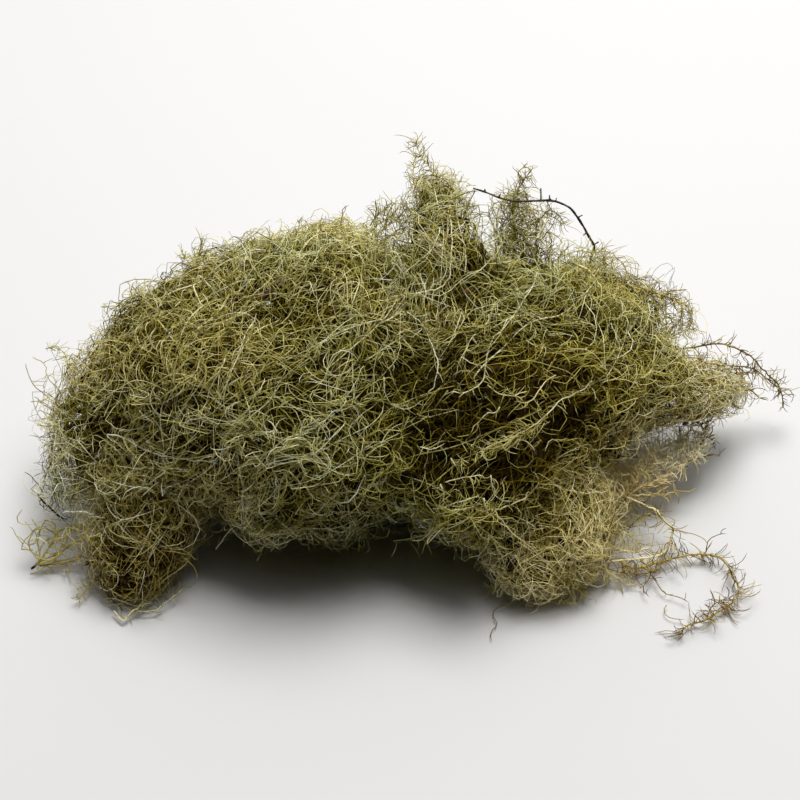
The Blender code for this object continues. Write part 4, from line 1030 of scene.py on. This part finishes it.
def smoothRoute(points, spacing=tracedStrand["spacing"]):
    # a smooth curve through the points, in even steps
    points = np.array(points, float)
    padded = np.concatenate([[2 * points[0] - points[1]], points, [2 * points[-1] - points[-2]]])
    share = np.linspace(0, 1, tracedStrand["fineSteps"], endpoint=False)[:, None]
    fine = []
    for a, b, c, d in zip(padded, padded[1:], padded[2:], padded[3:]):
        fine.append(0.5 * (2 * b + (c - a) * share + (2 * a - 5 * b + 4 * c - d) * share ** 2
                           + (3 * b - a - 3 * c + d) * share ** 3))
    fine = np.concatenate(fine + [points[-1:]])
    run = np.concatenate([[0], np.cumsum(np.linalg.norm(np.diff(fine, axis=0), axis=1))])
    places = np.linspace(0, run[-1], max(tracedStrand["fewest"], int(run[-1] / spacing) + 1))
    return np.stack([np.interp(places, run, column) for column in fine.T], axis=1)


def strandWithFibrils(route, base, tip, tint, perMm, lengths, fibrilTint, fibrilRadius,
                      crinkle=tracedStrand["crinkle"]):
    # one traced strand, a little crinkled, with its rows of fibrils
    route[1:-1] += dice.normal(0, crinkle, (len(route) - 2, 3))
    route = keepInBox(route[None], base)
    sets = [threads(route, base, tip, np.array(tint - tracedStrand["darker"]))]
    if perMm > 0:
        look = tracedFibrils
        shortest, longest = lengths
        kind = dict(points=look["points"][int(longest >= look["shortUnder"])],
                    length=(shortest, longest * look["longer"]))
        fibrils = growFibrils(route, perMm, kind, look["bend"])
        if len(fibrils):
            tints = np.clip(fibrilTint + dice.normal(0, look["tintSpread"], len(fibrils)), *tintScale["ends"])
            radii = [fibrilRadius * share for share in look["radii"]]
            thickness = dice.uniform(*look["thickness"], len(fibrils))
            sets.append(threads(keepInBox(fibrils, look["margin"]), *radii, tints, thickness))
    return sets


def sprayThreads(node):
    sets = []
    for *look, points in sprays.get(node, []):
        sets += strandWithFibrils(smoothRoute(placesAt(points)), *look)
    return sets


# Conspicuous strands that lie on the clump: radius, place on the tint scale, fibrils on a millimetre, and
# where they run in the picture.
laidStrands = {
    "left_mound": [
        (0.33, 0.93, 1.2, [(108, 435), (117, 436), (126, 439), (139, 447), (160, 455), (180, 459),
            (195, 461), (207, 461.5), (216, 460), (223, 451.5), (233, 442), (246, 437), (260, 434),
            (273, 431.5), (277, 434)]),
        (0.32, 0.9, 1.2, [(114, 449), (135, 460), (146, 468), (160, 468), (180, 469), (192, 470),
            (198, 476), (208, 484), (220, 488), (228, 496), (238, 506)]),
        (0.2, 0.84, 0.5, [(156, 483), (171, 498), (183, 501), (200, 496), (211, 487)]),
        (0.24, 0.84, 0.6, [(173, 486), (192, 477), (202, 472)]),
        (0.24, 0.97, 0, [(139, 410), (146, 418), (154, 422), (157, 427)]),
        (0.2, 0.84, 1.4, [(138, 352), (142, 348), (151, 343), (162.5, 339), (178, 335), (189, 334.5),
            (201, 333), (216, 334)]),
        (0.3, 0.92, 1.2, [(292.6, 250), (284, 260), (275, 273), (264.5, 284.6), (254, 293.6), (244, 306),
            (234, 319), (227.6, 328), (220, 333)]),
        (0.16, 0.84, 0.4, [(292.6, 255), (285, 265.5), (277, 274.4)]),
        (0.3, 0.9, 1, [(255.6, 279.5), (240, 281), (227.6, 286.6), (215, 293), (202, 300), (192, 309),
            (188, 315), (181.6, 321.6), (175, 325.5)]),
        (0.2, 0.9, 0.3, [(199.5, 275.7), (206, 282), (213.5, 289.7), (222.4, 298.7)]),
        (0.22, 0.86, 0.8, [(170, 310), (157, 314), (147, 316.5), (137, 321.6), (130.6, 328)]),
        (0.28, 0.8, 1.6, [(367, 315), (355, 316), (342, 325), (329, 337), (316, 348), (301, 356),
            (286, 355)]),
        (0.2, 0.84, 0.8, [(349, 325), (360, 337), (372, 342), (383, 345)]),
        (0.26, 0.9, 1, [(208, 349.7), (202, 353.5), (199.5, 361), (197, 369), (194, 374), (187, 377),
            (173, 380), (162.5, 382)]),
        (0.24, 0.97, 0.3, [(139.5, 390), (147, 392), (150, 398), (148.5, 406)]),
        (0.26, 0.86, 1.2, [(225, 358.6), (220, 371), (213.5, 383), (208, 394), (206, 403), (202, 409.6),
            (196, 416)]),
        (0.24, 0.86, 1.2, [(206, 374), (197, 389), (189, 399.4), (181.6, 411), (173, 425)]),
        (0.26, 0.98, 0.2, [(239, 402), (233, 403), (226, 411), (221, 418.6), (215, 429), (217, 432.6),
            (221, 434)]),
        (0.22, 0.88, 1, [(282, 366), (286, 370), (284, 375), (277, 378.4), (267, 380), (253, 385.4)]),
        (0.2, 0.8, 1, [(262, 387), (254, 398), (247, 411), (240, 420), (228, 429)]),
        (0.24, 0.97, 0.3, [(267, 420), (273.5, 424), (277, 432.6), (276, 436.4)]),
        (0.28, 0.9, 0.8, [(238, 439), (249, 436.4), (261, 432.6), (271, 432)]),
        (0.18, 0.86, 0.2, [(258, 397.5), (271, 397.5), (284, 396)]),
        (0.2, 0.8, 0.8, [(294, 398), (282, 404.5), (276, 409.6)]),
        (0.22, 0.66, 1.2, [(254, 301), (259, 303), (269.6, 301), (284, 295), (296, 290)]),
        (0.33, 0.82, 1.8, [(326, 420), (313, 428), (299, 434), (286, 439), (278, 445), (269.6, 451.5),
            (263, 454), (246, 461.5)]),
        (0.24, 0.92, 0.6, [(274.5, 471.4), (281, 470), (288, 470.6), (296, 478), (304, 486), (311, 493)]),
        (0.24, 0.84, 1.2, [(387, 477), (382, 482), (367, 486), (352.5, 492), (339, 493), (324, 493)]),
        (0.26, 0.88, 1.2, [(384, 482), (359, 490), (337.5, 494.6), (326, 503), (316, 513), (309, 512),
            (304, 508)]),
        (0.26, 0.97, 0.3, [(250, 491), (254.6, 494.6), (263, 501), (271, 506)]),
        (0.24, 0.88, 0.3, [(274.5, 518), (286, 526), (293, 533), (298.6, 540), (303.5, 538.6),
            (296, 533.6)]),
        (0.22, 0.88, 0.2, [(216, 549), (223, 538.6), (233, 528), (241, 520)]),
        (0.16, 0.66, 0.2, [(205, 534), (210, 526), (220, 520), (228, 517)]),
        (0.22, 0.8, 0.8, [(374, 513), (359, 512), (339, 512), (328, 509.6)]),
        (0.18, 0.86, 0.3, [(271, 475), (274.5, 490), (274.5, 506)]),
        (0.2, 0.82, 0.8, [(266, 456.5), (273, 468), (279.5, 486)]),
        (0.2, 0.6, 0.4, [(394, 541), (412, 538.6), (429, 533), (440, 523)]),
        (0.24, 0.8, 0.6, [(440.4, 484), (443, 494), (443, 504)]),
        (0.28, 0.86, 1.2, [(433, 509), (443, 508), (454, 503), (468.5, 499), (479, 496.5)]),
        (0.26, 0.9, 1, [(438, 514), (451, 510.6), (463, 508.6), (474, 506.7), (481, 503)]),
        (0.2, 0.84, 0.4, [(438, 514), (434, 522), (431.5, 530), (428, 533.5), (420, 541)]),
    ],
    "right_mound": [
        (0.34, 0.95, 0.8, [(450, 215), (452, 235), (451, 259), (450, 273), (445, 283.5), (438, 289.5),
            (430, 291), (416, 293), (401, 295), (390, 300), (374, 301)]),
        (0.33, 0.88, 1.2, [(440, 228), (433, 247), (423, 258), (406, 272), (401, 278)]),
        (0.22, 0.84, 0.8, [(400, 312), (400, 333), (399, 352), (392, 365), (384, 372)]),
        (0.26, 0.9, 0.6, [(407, 312), (422, 324), (430, 341), (435, 354.5), (438, 365), (436, 378.6),
            (433, 388), (426, 394)]),
        (0.22, 0.84, 0.8, [(384, 377), (385, 393), (394, 406), (409, 408), (422, 400)]),
        (0.32, 0.9, 1.2, [(537, 272), (534, 283), (529, 292), (522, 303), (513, 316), (505, 327),
            (494, 337), (488, 352), (485, 366), (483.6, 380), (473, 389), (461, 393), (450, 391)]),
        (0.24, 0.88, 0.8, [(475.5, 334), (467.5, 346), (463.5, 354.5), (457.5, 366.5)]),
        (0.18, 0.84, 0.3, [(461, 357), (471.5, 362.5), (481, 366.5)]),
        (0.26, 0.88, 0.8, [(487.6, 385), (497, 392), (506, 395), (518, 394), (529, 390.6)]),
        (0.28, 0.88, 1, [(556, 375), (546.5, 380), (540, 389), (533, 398.7), (524, 403), (513, 401)]),
        (0.3, 0.9, 1.2, [(592, 381), (584, 389), (572, 394.6), (561, 400), (554.5, 407), (548, 413),
            (537, 423), (517, 435), (497, 443), (481, 451)]),
        (0.26, 0.9, 0.5, [(611, 323), (616, 336), (619, 346), (619, 354.5)]),
        (0.28, 0.97, 0.4, [(628, 332), (633, 341), (631, 349), (621.5, 356), (608, 360.5)]),
        (0.24, 0.88, 1.4, [(498, 304), (489, 305), (479.5, 307.6), (470, 313), (463.5, 318)]),
        (0.24, 0.86, 1.2, [(489, 314), (487.6, 322), (482, 326), (473, 327), (459.5, 327)]),
        (0.2, 0.84, 1, [(490, 313), (504, 315.6)]),
        (0.2, 0.84, 0.8, [(544, 344), (541, 352), (537, 357)]),
        (0.2, 0.84, 0.6, [(526, 340), (541, 350)]),
        (0.24, 0.86, 1.2, [(596, 328), (587, 323), (569, 322), (561, 321)]),
        (0.26, 0.9, 0.5, [(500, 407), (496, 413), (488, 413), (481, 419), (474, 427), (469, 435)]),
        (0.24, 0.5, 1.5, [(540, 420), (530, 429), (517, 436.6), (502, 445.5), (491, 451), (480, 457),
            (463, 462)]),
        (0.22, 0.46, 1.2, [(548, 417), (538, 426), (526, 434), (512, 442), (498, 449), (486, 456)]),
        (0.2, 0.54, 1.2, [(530, 424), (514, 434), (500, 442), (488, 448), (474, 454), (458, 460)]),
        (0.22, 0.88, 1, [(450.6, 458), (458, 469)]),
        (0.24, 0.84, 1.2, [(420, 447), (430, 448.7), (439, 447), (445.5, 443)]),
    ],
    "front_right_tuft": [
        (0.38, 0.74, 0.2, [(505.5, 450.6), (512, 445.5), (518, 440), (526, 441), (532, 447), (534.5, 456)]),
        (0.26, 0.9, 1, [(491, 475), (492.7, 489), (495, 495), (504, 501.6), (514, 501.6)]),
        (0.34, 0.96, 1, [(491, 510.6), (503, 508), (516, 503), (526, 498), (533.5, 490), (538.6, 482.5),
            (537, 475), (531, 471)]),
        (0.4, 0.95, 1.2, [(551, 481), (555, 486), (567, 490), (582, 492.7), (596, 492.7), (611, 491)]),
        (0.3, 0.96, 0.2, [(608, 478), (617, 489), (626, 497)]),
        (0.34, 0.97, 0.8, [(484, 498), (485, 507), (489, 514), (496.5, 515.7), (503, 521), (509, 530),
            (517, 537), (526, 543.7), (535, 551), (544, 560), (560, 567), (580, 570), (591, 568)]),
        (0.3, 0.95, 0.8, [(524.6, 509), (527, 521), (529.7, 532), (529.7, 545), (527, 558), (527, 573),
            (535, 584), (534, 591), (523, 592), (516, 578)]),
        (0.3, 0.94, 0.8, [(538.6, 503), (544, 509), (551, 514), (560, 515.7), (569, 514), (574, 511),
            (581, 514)]),
        (0.32, 0.42, 0.8, [(566.7, 528), (572, 536), (578, 544), (584.5, 553), (598.6, 560)]),
        (0.26, 0.88, 1, [(445.5, 482.5), (458, 479), (470, 477), (481, 475.5), (486, 481)]),
        (0.3, 0.95, 0.3, [(568, 466), (572, 474), (575.6, 482.5)]),
        (0.18, 0.86, 0.1, [(545, 451), (547.6, 443), (553, 439), (559, 444), (561.6, 451)]),
        (0.18, 0.86, 0.1, [(584.5, 486), (587, 479), (593.5, 471), (601, 469)]),
        (0.22, 0.95, 0.1, [(595, 523), (597, 516), (600, 509)]),
        (0.22, 0.9, 0.4, [(582, 514), (584.5, 521), (597, 523)]),
        (0.22, 0.5, 0.8, [(468.5, 517), (484, 530), (493, 538.6), (496.5, 547.6), (500, 558)]),
        (0.2, 0.84, 0.3, [(467, 518), (473.6, 509)]),
    ],
}


# What the strands above share: the spacing of the pixels that are looked through, their ends' share of the
# radius, how much darker they are, and their fibrils.
laidStrand = dict(spacing=4.8, base=0.64, tip=0.45, darker=0.01, crinkle=0.11, moreFibrils=0.4,
                  fibrilLength=(2.0, 5.6), fibrilTint=0.6, fibrilRadius=0.12)


def laidThreads(node):
    sets, look = [], laidStrand
    for radius, tint, perMm, pixels in laidStrands.get(node, []):
        route = skinBelow(smoothRoute(pixels, look["spacing"]))
        sets += strandWithFibrils(route, radius * look["base"], radius * look["tip"], tint - look["darker"],
                                  perMm + look["moreFibrils"], look["fibrilLength"], look["fibrilTint"],
                                  look["fibrilRadius"], look["crinkle"])
    return sets


def newMaterial(name, roughness, specular):
    # the material, its nodes and its surface
    material = bpy.data.materials.new(name)
    material.use_nodes = True
    surface = material.node_tree.nodes["Principled BSDF"]
    surface.inputs["Roughness"].default_value = roughness
    surface.inputs["Specular IOR Level"].default_value = specular
    return material, material.node_tree, surface


def addNode(tree, kind, sources=(), **settings):
    # a node with these settings, whose inputs have a value or come from another node
    node = tree.nodes.new("ShaderNode" + kind)
    for key, value in settings.items():
        setattr(node, key, value)
    for socket, source in dict(sources).items():
        if isinstance(source, bpy.types.NodeSocket):
            tree.links.new(source, node.inputs[socket])
        else:
            node.inputs[socket].default_value = source
    return node


def addRamp(tree, stops, colours, place):
    # the colour at a place on a scale of colours
    ramp = addNode(tree, "ValToRGB", {"Fac": place})
    marks = ramp.color_ramp.elements
    for mark, end in zip(marks, (0, -1)):
        mark.position = stops[end]
        mark.color = (*colours[end], 1)
    for stop, colour in zip(stops[1:-1], colours[1:-1]):
        marks.new(stop).color = (*colour, 1)
    return ramp.outputs["Color"]


def addMath(tree, operation, *values):
    return addNode(tree, "Math", enumerate(values), operation=operation).outputs[0]


def mixColours(tree, share, a, b, blend="MIX"):
    sources = {"Factor": share, "A": a, "B": b}
    return addNode(tree, "Mix", sources, data_type="RGBA", blend_type=blend).outputs["Result"]


# Colours at these stops of the tint scale: at a strand's base, and at its tip. Most tufts have the green
# set; the browner and paler ones have the tan set. The hues are the warmest and the coolest.
lichenColours = dict(
    stops=(0.00, 0.14, 0.30, 0.46, 0.62, 0.80, 1.00),
    green=dict(
        base=[(0.020, 0.011, 0.001), (0.095, 0.064, 0.003), (0.25, 0.20, 0.014), (0.50, 0.45, 0.105),
              (0.65, 0.61, 0.25), (0.92, 0.87, 0.54), (0.99, 0.95, 0.74)],
        tip=[(0.016, 0.008, 0.001), (0.045, 0.026, 0.002), (0.16, 0.115, 0.009), (0.47, 0.41, 0.09),
             (0.62, 0.575, 0.22), (0.88, 0.82, 0.48), (0.95, 0.90, 0.66)],
    ),
    tan=dict(
        base=[(0.024, 0.012, 0.002), (0.11, 0.062, 0.010), (0.30, 0.215, 0.035), (0.52, 0.435, 0.11),
              (0.69, 0.615, 0.24), (0.93, 0.84, 0.50), (0.99, 0.93, 0.72)],
        tip=[(0.018, 0.008, 0.001), (0.07, 0.034, 0.006), (0.21, 0.125, 0.022), (0.44, 0.34, 0.075),
             (0.63, 0.53, 0.18), (0.86, 0.76, 0.42), (0.95, 0.88, 0.64)],
    ),
    hues=((1.06, 0.98, 0.77, 1), (0.955, 1.03, 1.16, 1)),
)
tanNodes = ("left_foot", "left_sprig", "trailing_strand", "right_branch", "right_lobe", "back_right_tuft",
            "right_sprig")
lichenSurface = dict(roughness=0.82, specular=0.1, tipFrom=1.6, specksAlong=96, specksAcross=160, detail=3,
                     specks=(0.72, 1.28))


def lichenMaterial(kind):
    look = lichenSurface
    lichen, tree, surface = newMaterial("lichen_" + kind, look["roughness"], look["specular"])
    place = addNode(tree, "UVMap", uv_map=palette["map"]).outputs["UV"]
    split = addNode(tree, "SeparateXYZ", {"Vector": place}).outputs
    stops, colours = lichenColours["stops"], lichenColours[kind]
    base, tip = (addRamp(tree, stops, colours[end], split["Y"]) for end in ("base", "tip"))
    # across the palette, each part is one hue, and holds the thread from its base to its tip
    part = addMath(tree, "MULTIPLY", split["X"], hueScale["count"])
    along = addMath(tree, "POWER", addMath(tree, "FRACT", part), look["tipFrom"])
    colour = mixColours(tree, along, base, tip)
    whichHue = {"Value": addMath(tree, "FLOOR", part), "From Max": hueScale["count"] - 1}
    hueShare = addNode(tree, "MapRange", whichHue).outputs["Result"]
    hue = mixColours(tree, hueShare, *lichenColours["hues"])
    scale = (look["specksAlong"], look["specksAcross"], 1)
    stretched = addNode(tree, "Mapping", {"Vector": place, "Scale": scale}).outputs["Vector"]
    noise = addNode(tree, "TexNoise", {"Vector": stretched, "Scale": 1, "Detail": look["detail"]})
    darkest, lightest = look["specks"]
    speckRange = {"Value": noise.outputs["Fac"], "To Min": darkest, "To Max": lightest}
    specks = addNode(tree, "MapRange", speckRange).outputs["Result"]
    shaded = mixColours(tree, 1, colour, specks, "MULTIPLY")
    tree.links.new(mixColours(tree, 1, shaded, hue, "MULTIPLY"), surface.inputs["Base Color"])
    return lichen


# Mottled bark: fine grain over wider patches, as scale and detail; the grain's share; where on the mottling
# its three colours sit; and how far its roughness stands out, in mm.
bark = dict(specular=0.3, patches=(420, 4), grain=(2600, 2), grainShare=0.4, stops=(0.34, 0.5, 0.68),
            bump=0.7, bumpHeight=0.12)


def barkMaterial(name, roughness, colours):
    material, tree, surface = newMaterial(name, roughness, bark["specular"])
    place = addNode(tree, "TexCoord").outputs["Object"]
    shares = {"Factor": bark["grainShare"]}
    for socket, (scale, detail) in (("A", bark["patches"]), ("B", bark["grain"])):
        noise = addNode(tree, "TexNoise", {"Vector": place, "Scale": scale, "Detail": detail})
        shares[socket] = noise.outputs["Fac"]
    mottling = addNode(tree, "Mix", shares).outputs["Result"]
    tree.links.new(addRamp(tree, bark["stops"], colours, mottling), surface.inputs["Base Color"])
    height = {"Strength": bark["bump"], "Distance": bark["bumpHeight"] * mm, "Height": mottling}
    tree.links.new(addNode(tree, "Bump", height).outputs["Normal"], surface.inputs["Normal"])
    return material


def applyModifier(piece, kind, **settings):
    modifier = piece.modifiers.new(kind.lower(), kind)
    for key, value in settings.items():
        setattr(modifier, key, value)
    bpy.context.view_layer.objects.active = piece
    bpy.ops.object.modifier_apply(modifier=modifier.name)


def cloudTexture(name, size):
    texture = bpy.data.textures.new(name, "CLOUDS")
    texture.noise_scale = size * mm
    texture.noise_depth = 2
    return texture


def joinPieces(pieces, name):
    # one mesh from several meshes or curves
    bpy.ops.object.select_all(action="DESELECT")
    for piece in pieces:
        piece.select_set(True)
    bpy.context.view_layer.objects.active = pieces[0]
    if pieces[0].type == "CURVE":
        bpy.ops.object.convert(target="MESH")
    bpy.ops.object.join()
    joined = bpy.context.object
    joined.name = name
    return joined


def coverWithBark(piece, name, look):
    piece.data.materials.clear()
    piece.data.materials.append(barkMaterial(name, look["roughness"], look["colours"]))
    made["triangles"] += sum(len(face.vertices) - 2 for face in piece.data.polygons)
    print(piece.name, "made,", len(piece.data.polygons), "faces")


# The bare twig: its route from the thin end, its radii, its spurs as foot and tip, its knots and ridges as
# size and height, and its bark.
bareTwig = dict(
    route=[(14.6, 40.6, 57.0), (17.9, 38.8, 57.2), (21.1, 37.1, 57.0), (24.6, 35.6, 57.2), (27.7, 34.7, 58.0),
           (31.0, 34.8, 58.1), (34.1, 34.9, 58.0), (36.5, 34.4, 57.5), (39.0, 34.0, 56.0), (41.6, 33.6, 52.0),
           (43.5, 33.7, 48.0), (45.6, 33.5, 43.5), (45.3, 34.0, 40.0), (44.6, 33.6, 36.5)],
    radius=(0.25, 0.38),
    spacing=0.8,
    spurs=[((28.1, 34.8, 58.0), (27.6, 36.0, 59.8)), ((31.4, 35.1, 58.0), (31.3, 36.3, 61.0)),
           ((33.9, 34.9, 58.0), (33.6, 35.5, 59.4)), ((35.1, 34.8, 57.8), (35.3, 35.0, 58.9)),
           ((43.4, 33.7, 48.2), (42.4, 32.0, 48.8)), ((45.4, 33.6, 44.0), (46.8, 34.3, 44.4)),
           ((21.2, 37.0, 57.0), (21.5, 37.4, 58.1)), ((18.0, 38.8, 57.0), (17.4, 39.5, 57.9)),
           ((40.9, 33.8, 53.2), (42.1, 34.1, 53.8)), ((38.3, 34.2, 56.6), (38.6, 33.0, 57.3))],
    spurRadius=(0.26, 0.15),
    spurSpacing=0.35,
    spurBend=0.12,
    voxel=0.15,
    knots=(2.4, 0.32),
    ridges=(0.5, 0.14),
    roughness=0.75,
    colours=((0.014, 0.009, 0.005), (0.075, 0.050, 0.030), (0.20, 0.15, 0.105)),
)


def addStem(route, radii, name):
    # a round stem along a smooth curve, thicker at one end
    shape = bpy.data.curves.new(name, "CURVE")
    shape.dimensions = "3D"
    shape.bevel_depth = 1.0
    shape.bevel_resolution = 3
    shape.use_fill_caps = True
    line = shape.splines.new("POLY")
    line.points.add(len(route) - 1)
    for k, (point, spot) in enumerate(zip(line.points, route)):
        share = k / (len(route) - 1)
        point.co = (*(np.array(spot) * mm), 1)
        point.radius = (radii[0] * (1 - share) + radii[1] * share) * mm
    stem = bpy.data.objects.new(name, shape)
    bpy.context.scene.collection.objects.link(stem)
    return stem


def makeTwig():
    stems = [addStem(smoothRoute(bareTwig["route"], bareTwig["spacing"]), bareTwig["radius"], "bare_twig")]
    for foot, tip in bareTwig["spurs"]:
        bend = (np.array(foot) + np.array(tip)) / 2 + dice.normal(0, bareTwig["spurBend"], 3)
        route = smoothRoute([foot, bend, tip], bareTwig["spurSpacing"])
        stems.append(addStem(route, bareTwig["spurRadius"], "spur"))
    twig = joinPieces(stems, "bare_twig")
    applyModifier(twig, "REMESH", mode="VOXEL", voxel_size=bareTwig["voxel"] * mm, use_smooth_shade=True)
    for size, height in (bareTwig["knots"], bareTwig["ridges"]):
        applyModifier(twig, "DISPLACE", texture=cloudTexture("bark_clouds", size), strength=height * mm)
    bpy.ops.object.select_all(action="DESELECT")
    coverWithBark(twig, "twig_bark", bareTwig)
    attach(twig, "root")
    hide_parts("twig")


# Flakes of bark caught in the strands, each with both ends in the picture, width and thickness in mm, how
# far it is bent, in degrees, and how high it stands on the skin. They get narrower and thinner towards
# their ends, like splinters. Their edges are uneven: over what size, and by what share of the thickness.
barkFlakes = dict(
    flakes=[((261, 301), (281, 279), 1.25, 0.4, 30, 0.1), ((474, 222), (476, 231), 0.7, 0.3, 15, 0.0),
            ((459, 294), (476, 288), 0.9, 0.3, 40, -0.2), ((167, 404), (173, 402), 0.8, 0.35, 20, 0.0),
            ((186, 315), (188, 327), 0.5, 0.25, 25, 0.0), ((533, 447), (537, 456), 0.9, 0.35, 20, 0.2),
            ((257, 293), (262, 297), 1.0, 0.3, 20, -0.1), ((695, 419), (702, 413), 1.5, 0.9, 25, 0.9),
            ((683, 425), (689, 421), 1.2, 0.8, 20, 0.9), ((707, 411), (714, 406), 1.1, 0.7, 25, 0.9),
            ((402, 526), (409, 523), 0.7, 0.3, 20, 0.0), ((330, 372), (336, 369), 0.7, 0.3, 30, 0.0)],
    cuts=3,
    narrowing=(0.7, 0.55),
    edge=(0.9, 0.5),
    colours=((0.020, 0.008, 0.004), (0.085, 0.030, 0.014), (0.23, 0.11, 0.05)),
    roughness=0.7,
)


def makeFlake(start, end, width, thickness, bend, lift):
    ends = skinBelow(np.array([start, end], float), lift)
    middle, lengthways = ends.mean(0), ends[1] - ends[0]
    length = np.linalg.norm(lengthways)
    lengthways = unit(lengthways)
    outward = -readBlock(room["all"], middle[None])[0, 1:]
    outward = unit(outward - lengthways * (outward @ lengthways))
    bpy.ops.mesh.primitive_cube_add(size=1)
    flake = bpy.context.object
    flake.scale = (length * mm, width * mm, thickness * mm)
    bpy.ops.object.transform_apply(scale=True)
    bpy.ops.object.mode_set(mode="EDIT")
    bpy.ops.mesh.select_all(action="SELECT")
    bpy.ops.mesh.subdivide(number_cuts=barkFlakes["cuts"])
    bpy.ops.object.mode_set(mode="OBJECT")
    narrower, thinner = barkFlakes["narrowing"]
    for corner in flake.data.vertices:
        share = abs(corner.co.x) / (length * mm) * 2
        corner.co.y *= 1 - narrower * share ** 2
        corner.co.z *= 1 - thinner * share ** 2
    size, unevenness = barkFlakes["edge"]
    edge = cloudTexture("flake_edge", size)
    applyModifier(flake, "DISPLACE", texture=edge, strength=unevenness * thickness * mm)
    applyModifier(flake, "SUBSURF", levels=1, render_levels=1)
    applyModifier(flake, "SIMPLE_DEFORM", deform_method="BEND", deform_axis="Y", angle=math.radians(bend))
    turned = Matrix(np.column_stack([lengthways, np.cross(outward, lengthways), outward]).tolist()).to_4x4()
    flake.data.transform(Matrix.Translation(Vector(middle) * mm) @ turned)
    return flake


def makeFlakes():
    joined = joinPieces([makeFlake(*flake) for flake in barkFlakes["flakes"]], "bark_flakes")
    bpy.ops.object.shade_smooth()
    bpy.ops.object.select_all(action="DESELECT")
    coverWithBark(joined, "bark_flake", barkFlakes)
    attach(joined, "root")


# The pale floor and the window light. The sky is brightest the way that the window is, and dim where it
# faces less than a share of that way.
floorSheet = dict(size=6.0, below=0.0002, colour=(0.70, 0.70, 0.705), roughness=0.9, specular=0.1)
lights = dict(
    window=dict(place=(0.12, 0.33, 0.92), size=0.55, power=10.6, colour=(1.0, 0.985, 0.96)),
    sky=dict(towards=(0.0, 0.78, 0.61), bright=1.14, dim=0.0, dimBelow=0.36, colour=(0.98, 0.99, 1.0)),
)
sensorWidth = 36


def makeFloor():
    bpy.ops.mesh.primitive_plane_add(size=floorSheet["size"], location=(0, 0, -floorSheet["below"]))
    floor = bpy.context.object
    floor.name = "paper_floor"
    paper, _, surface = newMaterial("paper", floorSheet["roughness"], floorSheet["specular"])
    surface.inputs["Base Color"].default_value = (*floorSheet["colour"], 1)
    floor.data.materials.append(paper)


def makeLights():
    look = lights["window"]
    window = bpy.data.lights.new("window", "AREA")
    window.size = look["size"]
    window.energy = look["power"]
    window.color = look["colour"]
    lamp = bpy.data.objects.new("window", window)
    bpy.context.scene.collection.objects.link(lamp)
    lamp.location = look["place"]
    lamp.rotation_euler = (-Vector(lamp.location)).to_track_quat("-Z", "Y").to_euler()
    look = lights["sky"]
    world = bpy.data.worlds.new("room")
    bpy.context.scene.world = world
    world.use_nodes = True
    tree = world.node_tree
    sky = tree.nodes["Background"]
    sky.inputs["Color"].default_value = (*look["colour"], 1)
    ways = {0: addNode(tree, "TexCoord").outputs["Generated"], 1: look["towards"]}
    facing = addNode(tree, "VectorMath", ways, operation="DOT_PRODUCT").outputs["Value"]
    rise = {"Value": facing, "From Min": look["dimBelow"], "To Min": look["dim"], "To Max": look["bright"]}
    tree.links.new(addNode(tree, "MapRange", rise).outputs["Result"], sky.inputs["Strength"])


def makeCamera():
    camera = bpy.data.cameras.new("camera")
    camera.sensor_width = sensorWidth
    camera.lens = sensorWidth * photoView["distance"] / photoView["frameWidth"]
    holder = bpy.data.objects.new("camera", camera)
    bpy.context.scene.collection.objects.link(holder)
    holder.location = photoAxes()[2] * mm
    holder.rotation_euler = (math.pi / 2 - math.radians(photoView["elevation"]), 0, 0)
    bpy.context.scene.camera = holder


makeFloor()
makeLights()
makeCamera()
view = bpy.context.scene.view_settings
view.view_transform = "Standard"
print("stage ready")

measureRoom()
print("room measured", room["shape"])
green, tan = lichenMaterial("green"), lichenMaterial("tan")
for tuft in tufts:
    node = tuft["node"]
    sets = laidThreads(node) + sprayThreads(node) + tuftThreads(tuft)
    makePieces(node, sets, tan if node in tanNodes else green)
for node, slot in sprigSlots.items():
    makePieces(node, sprayThreads(node), tan if node in tanNodes else green)
makeTwig()
makeFlakes()
print("all pieces made,", made["triangles"], "triangles")
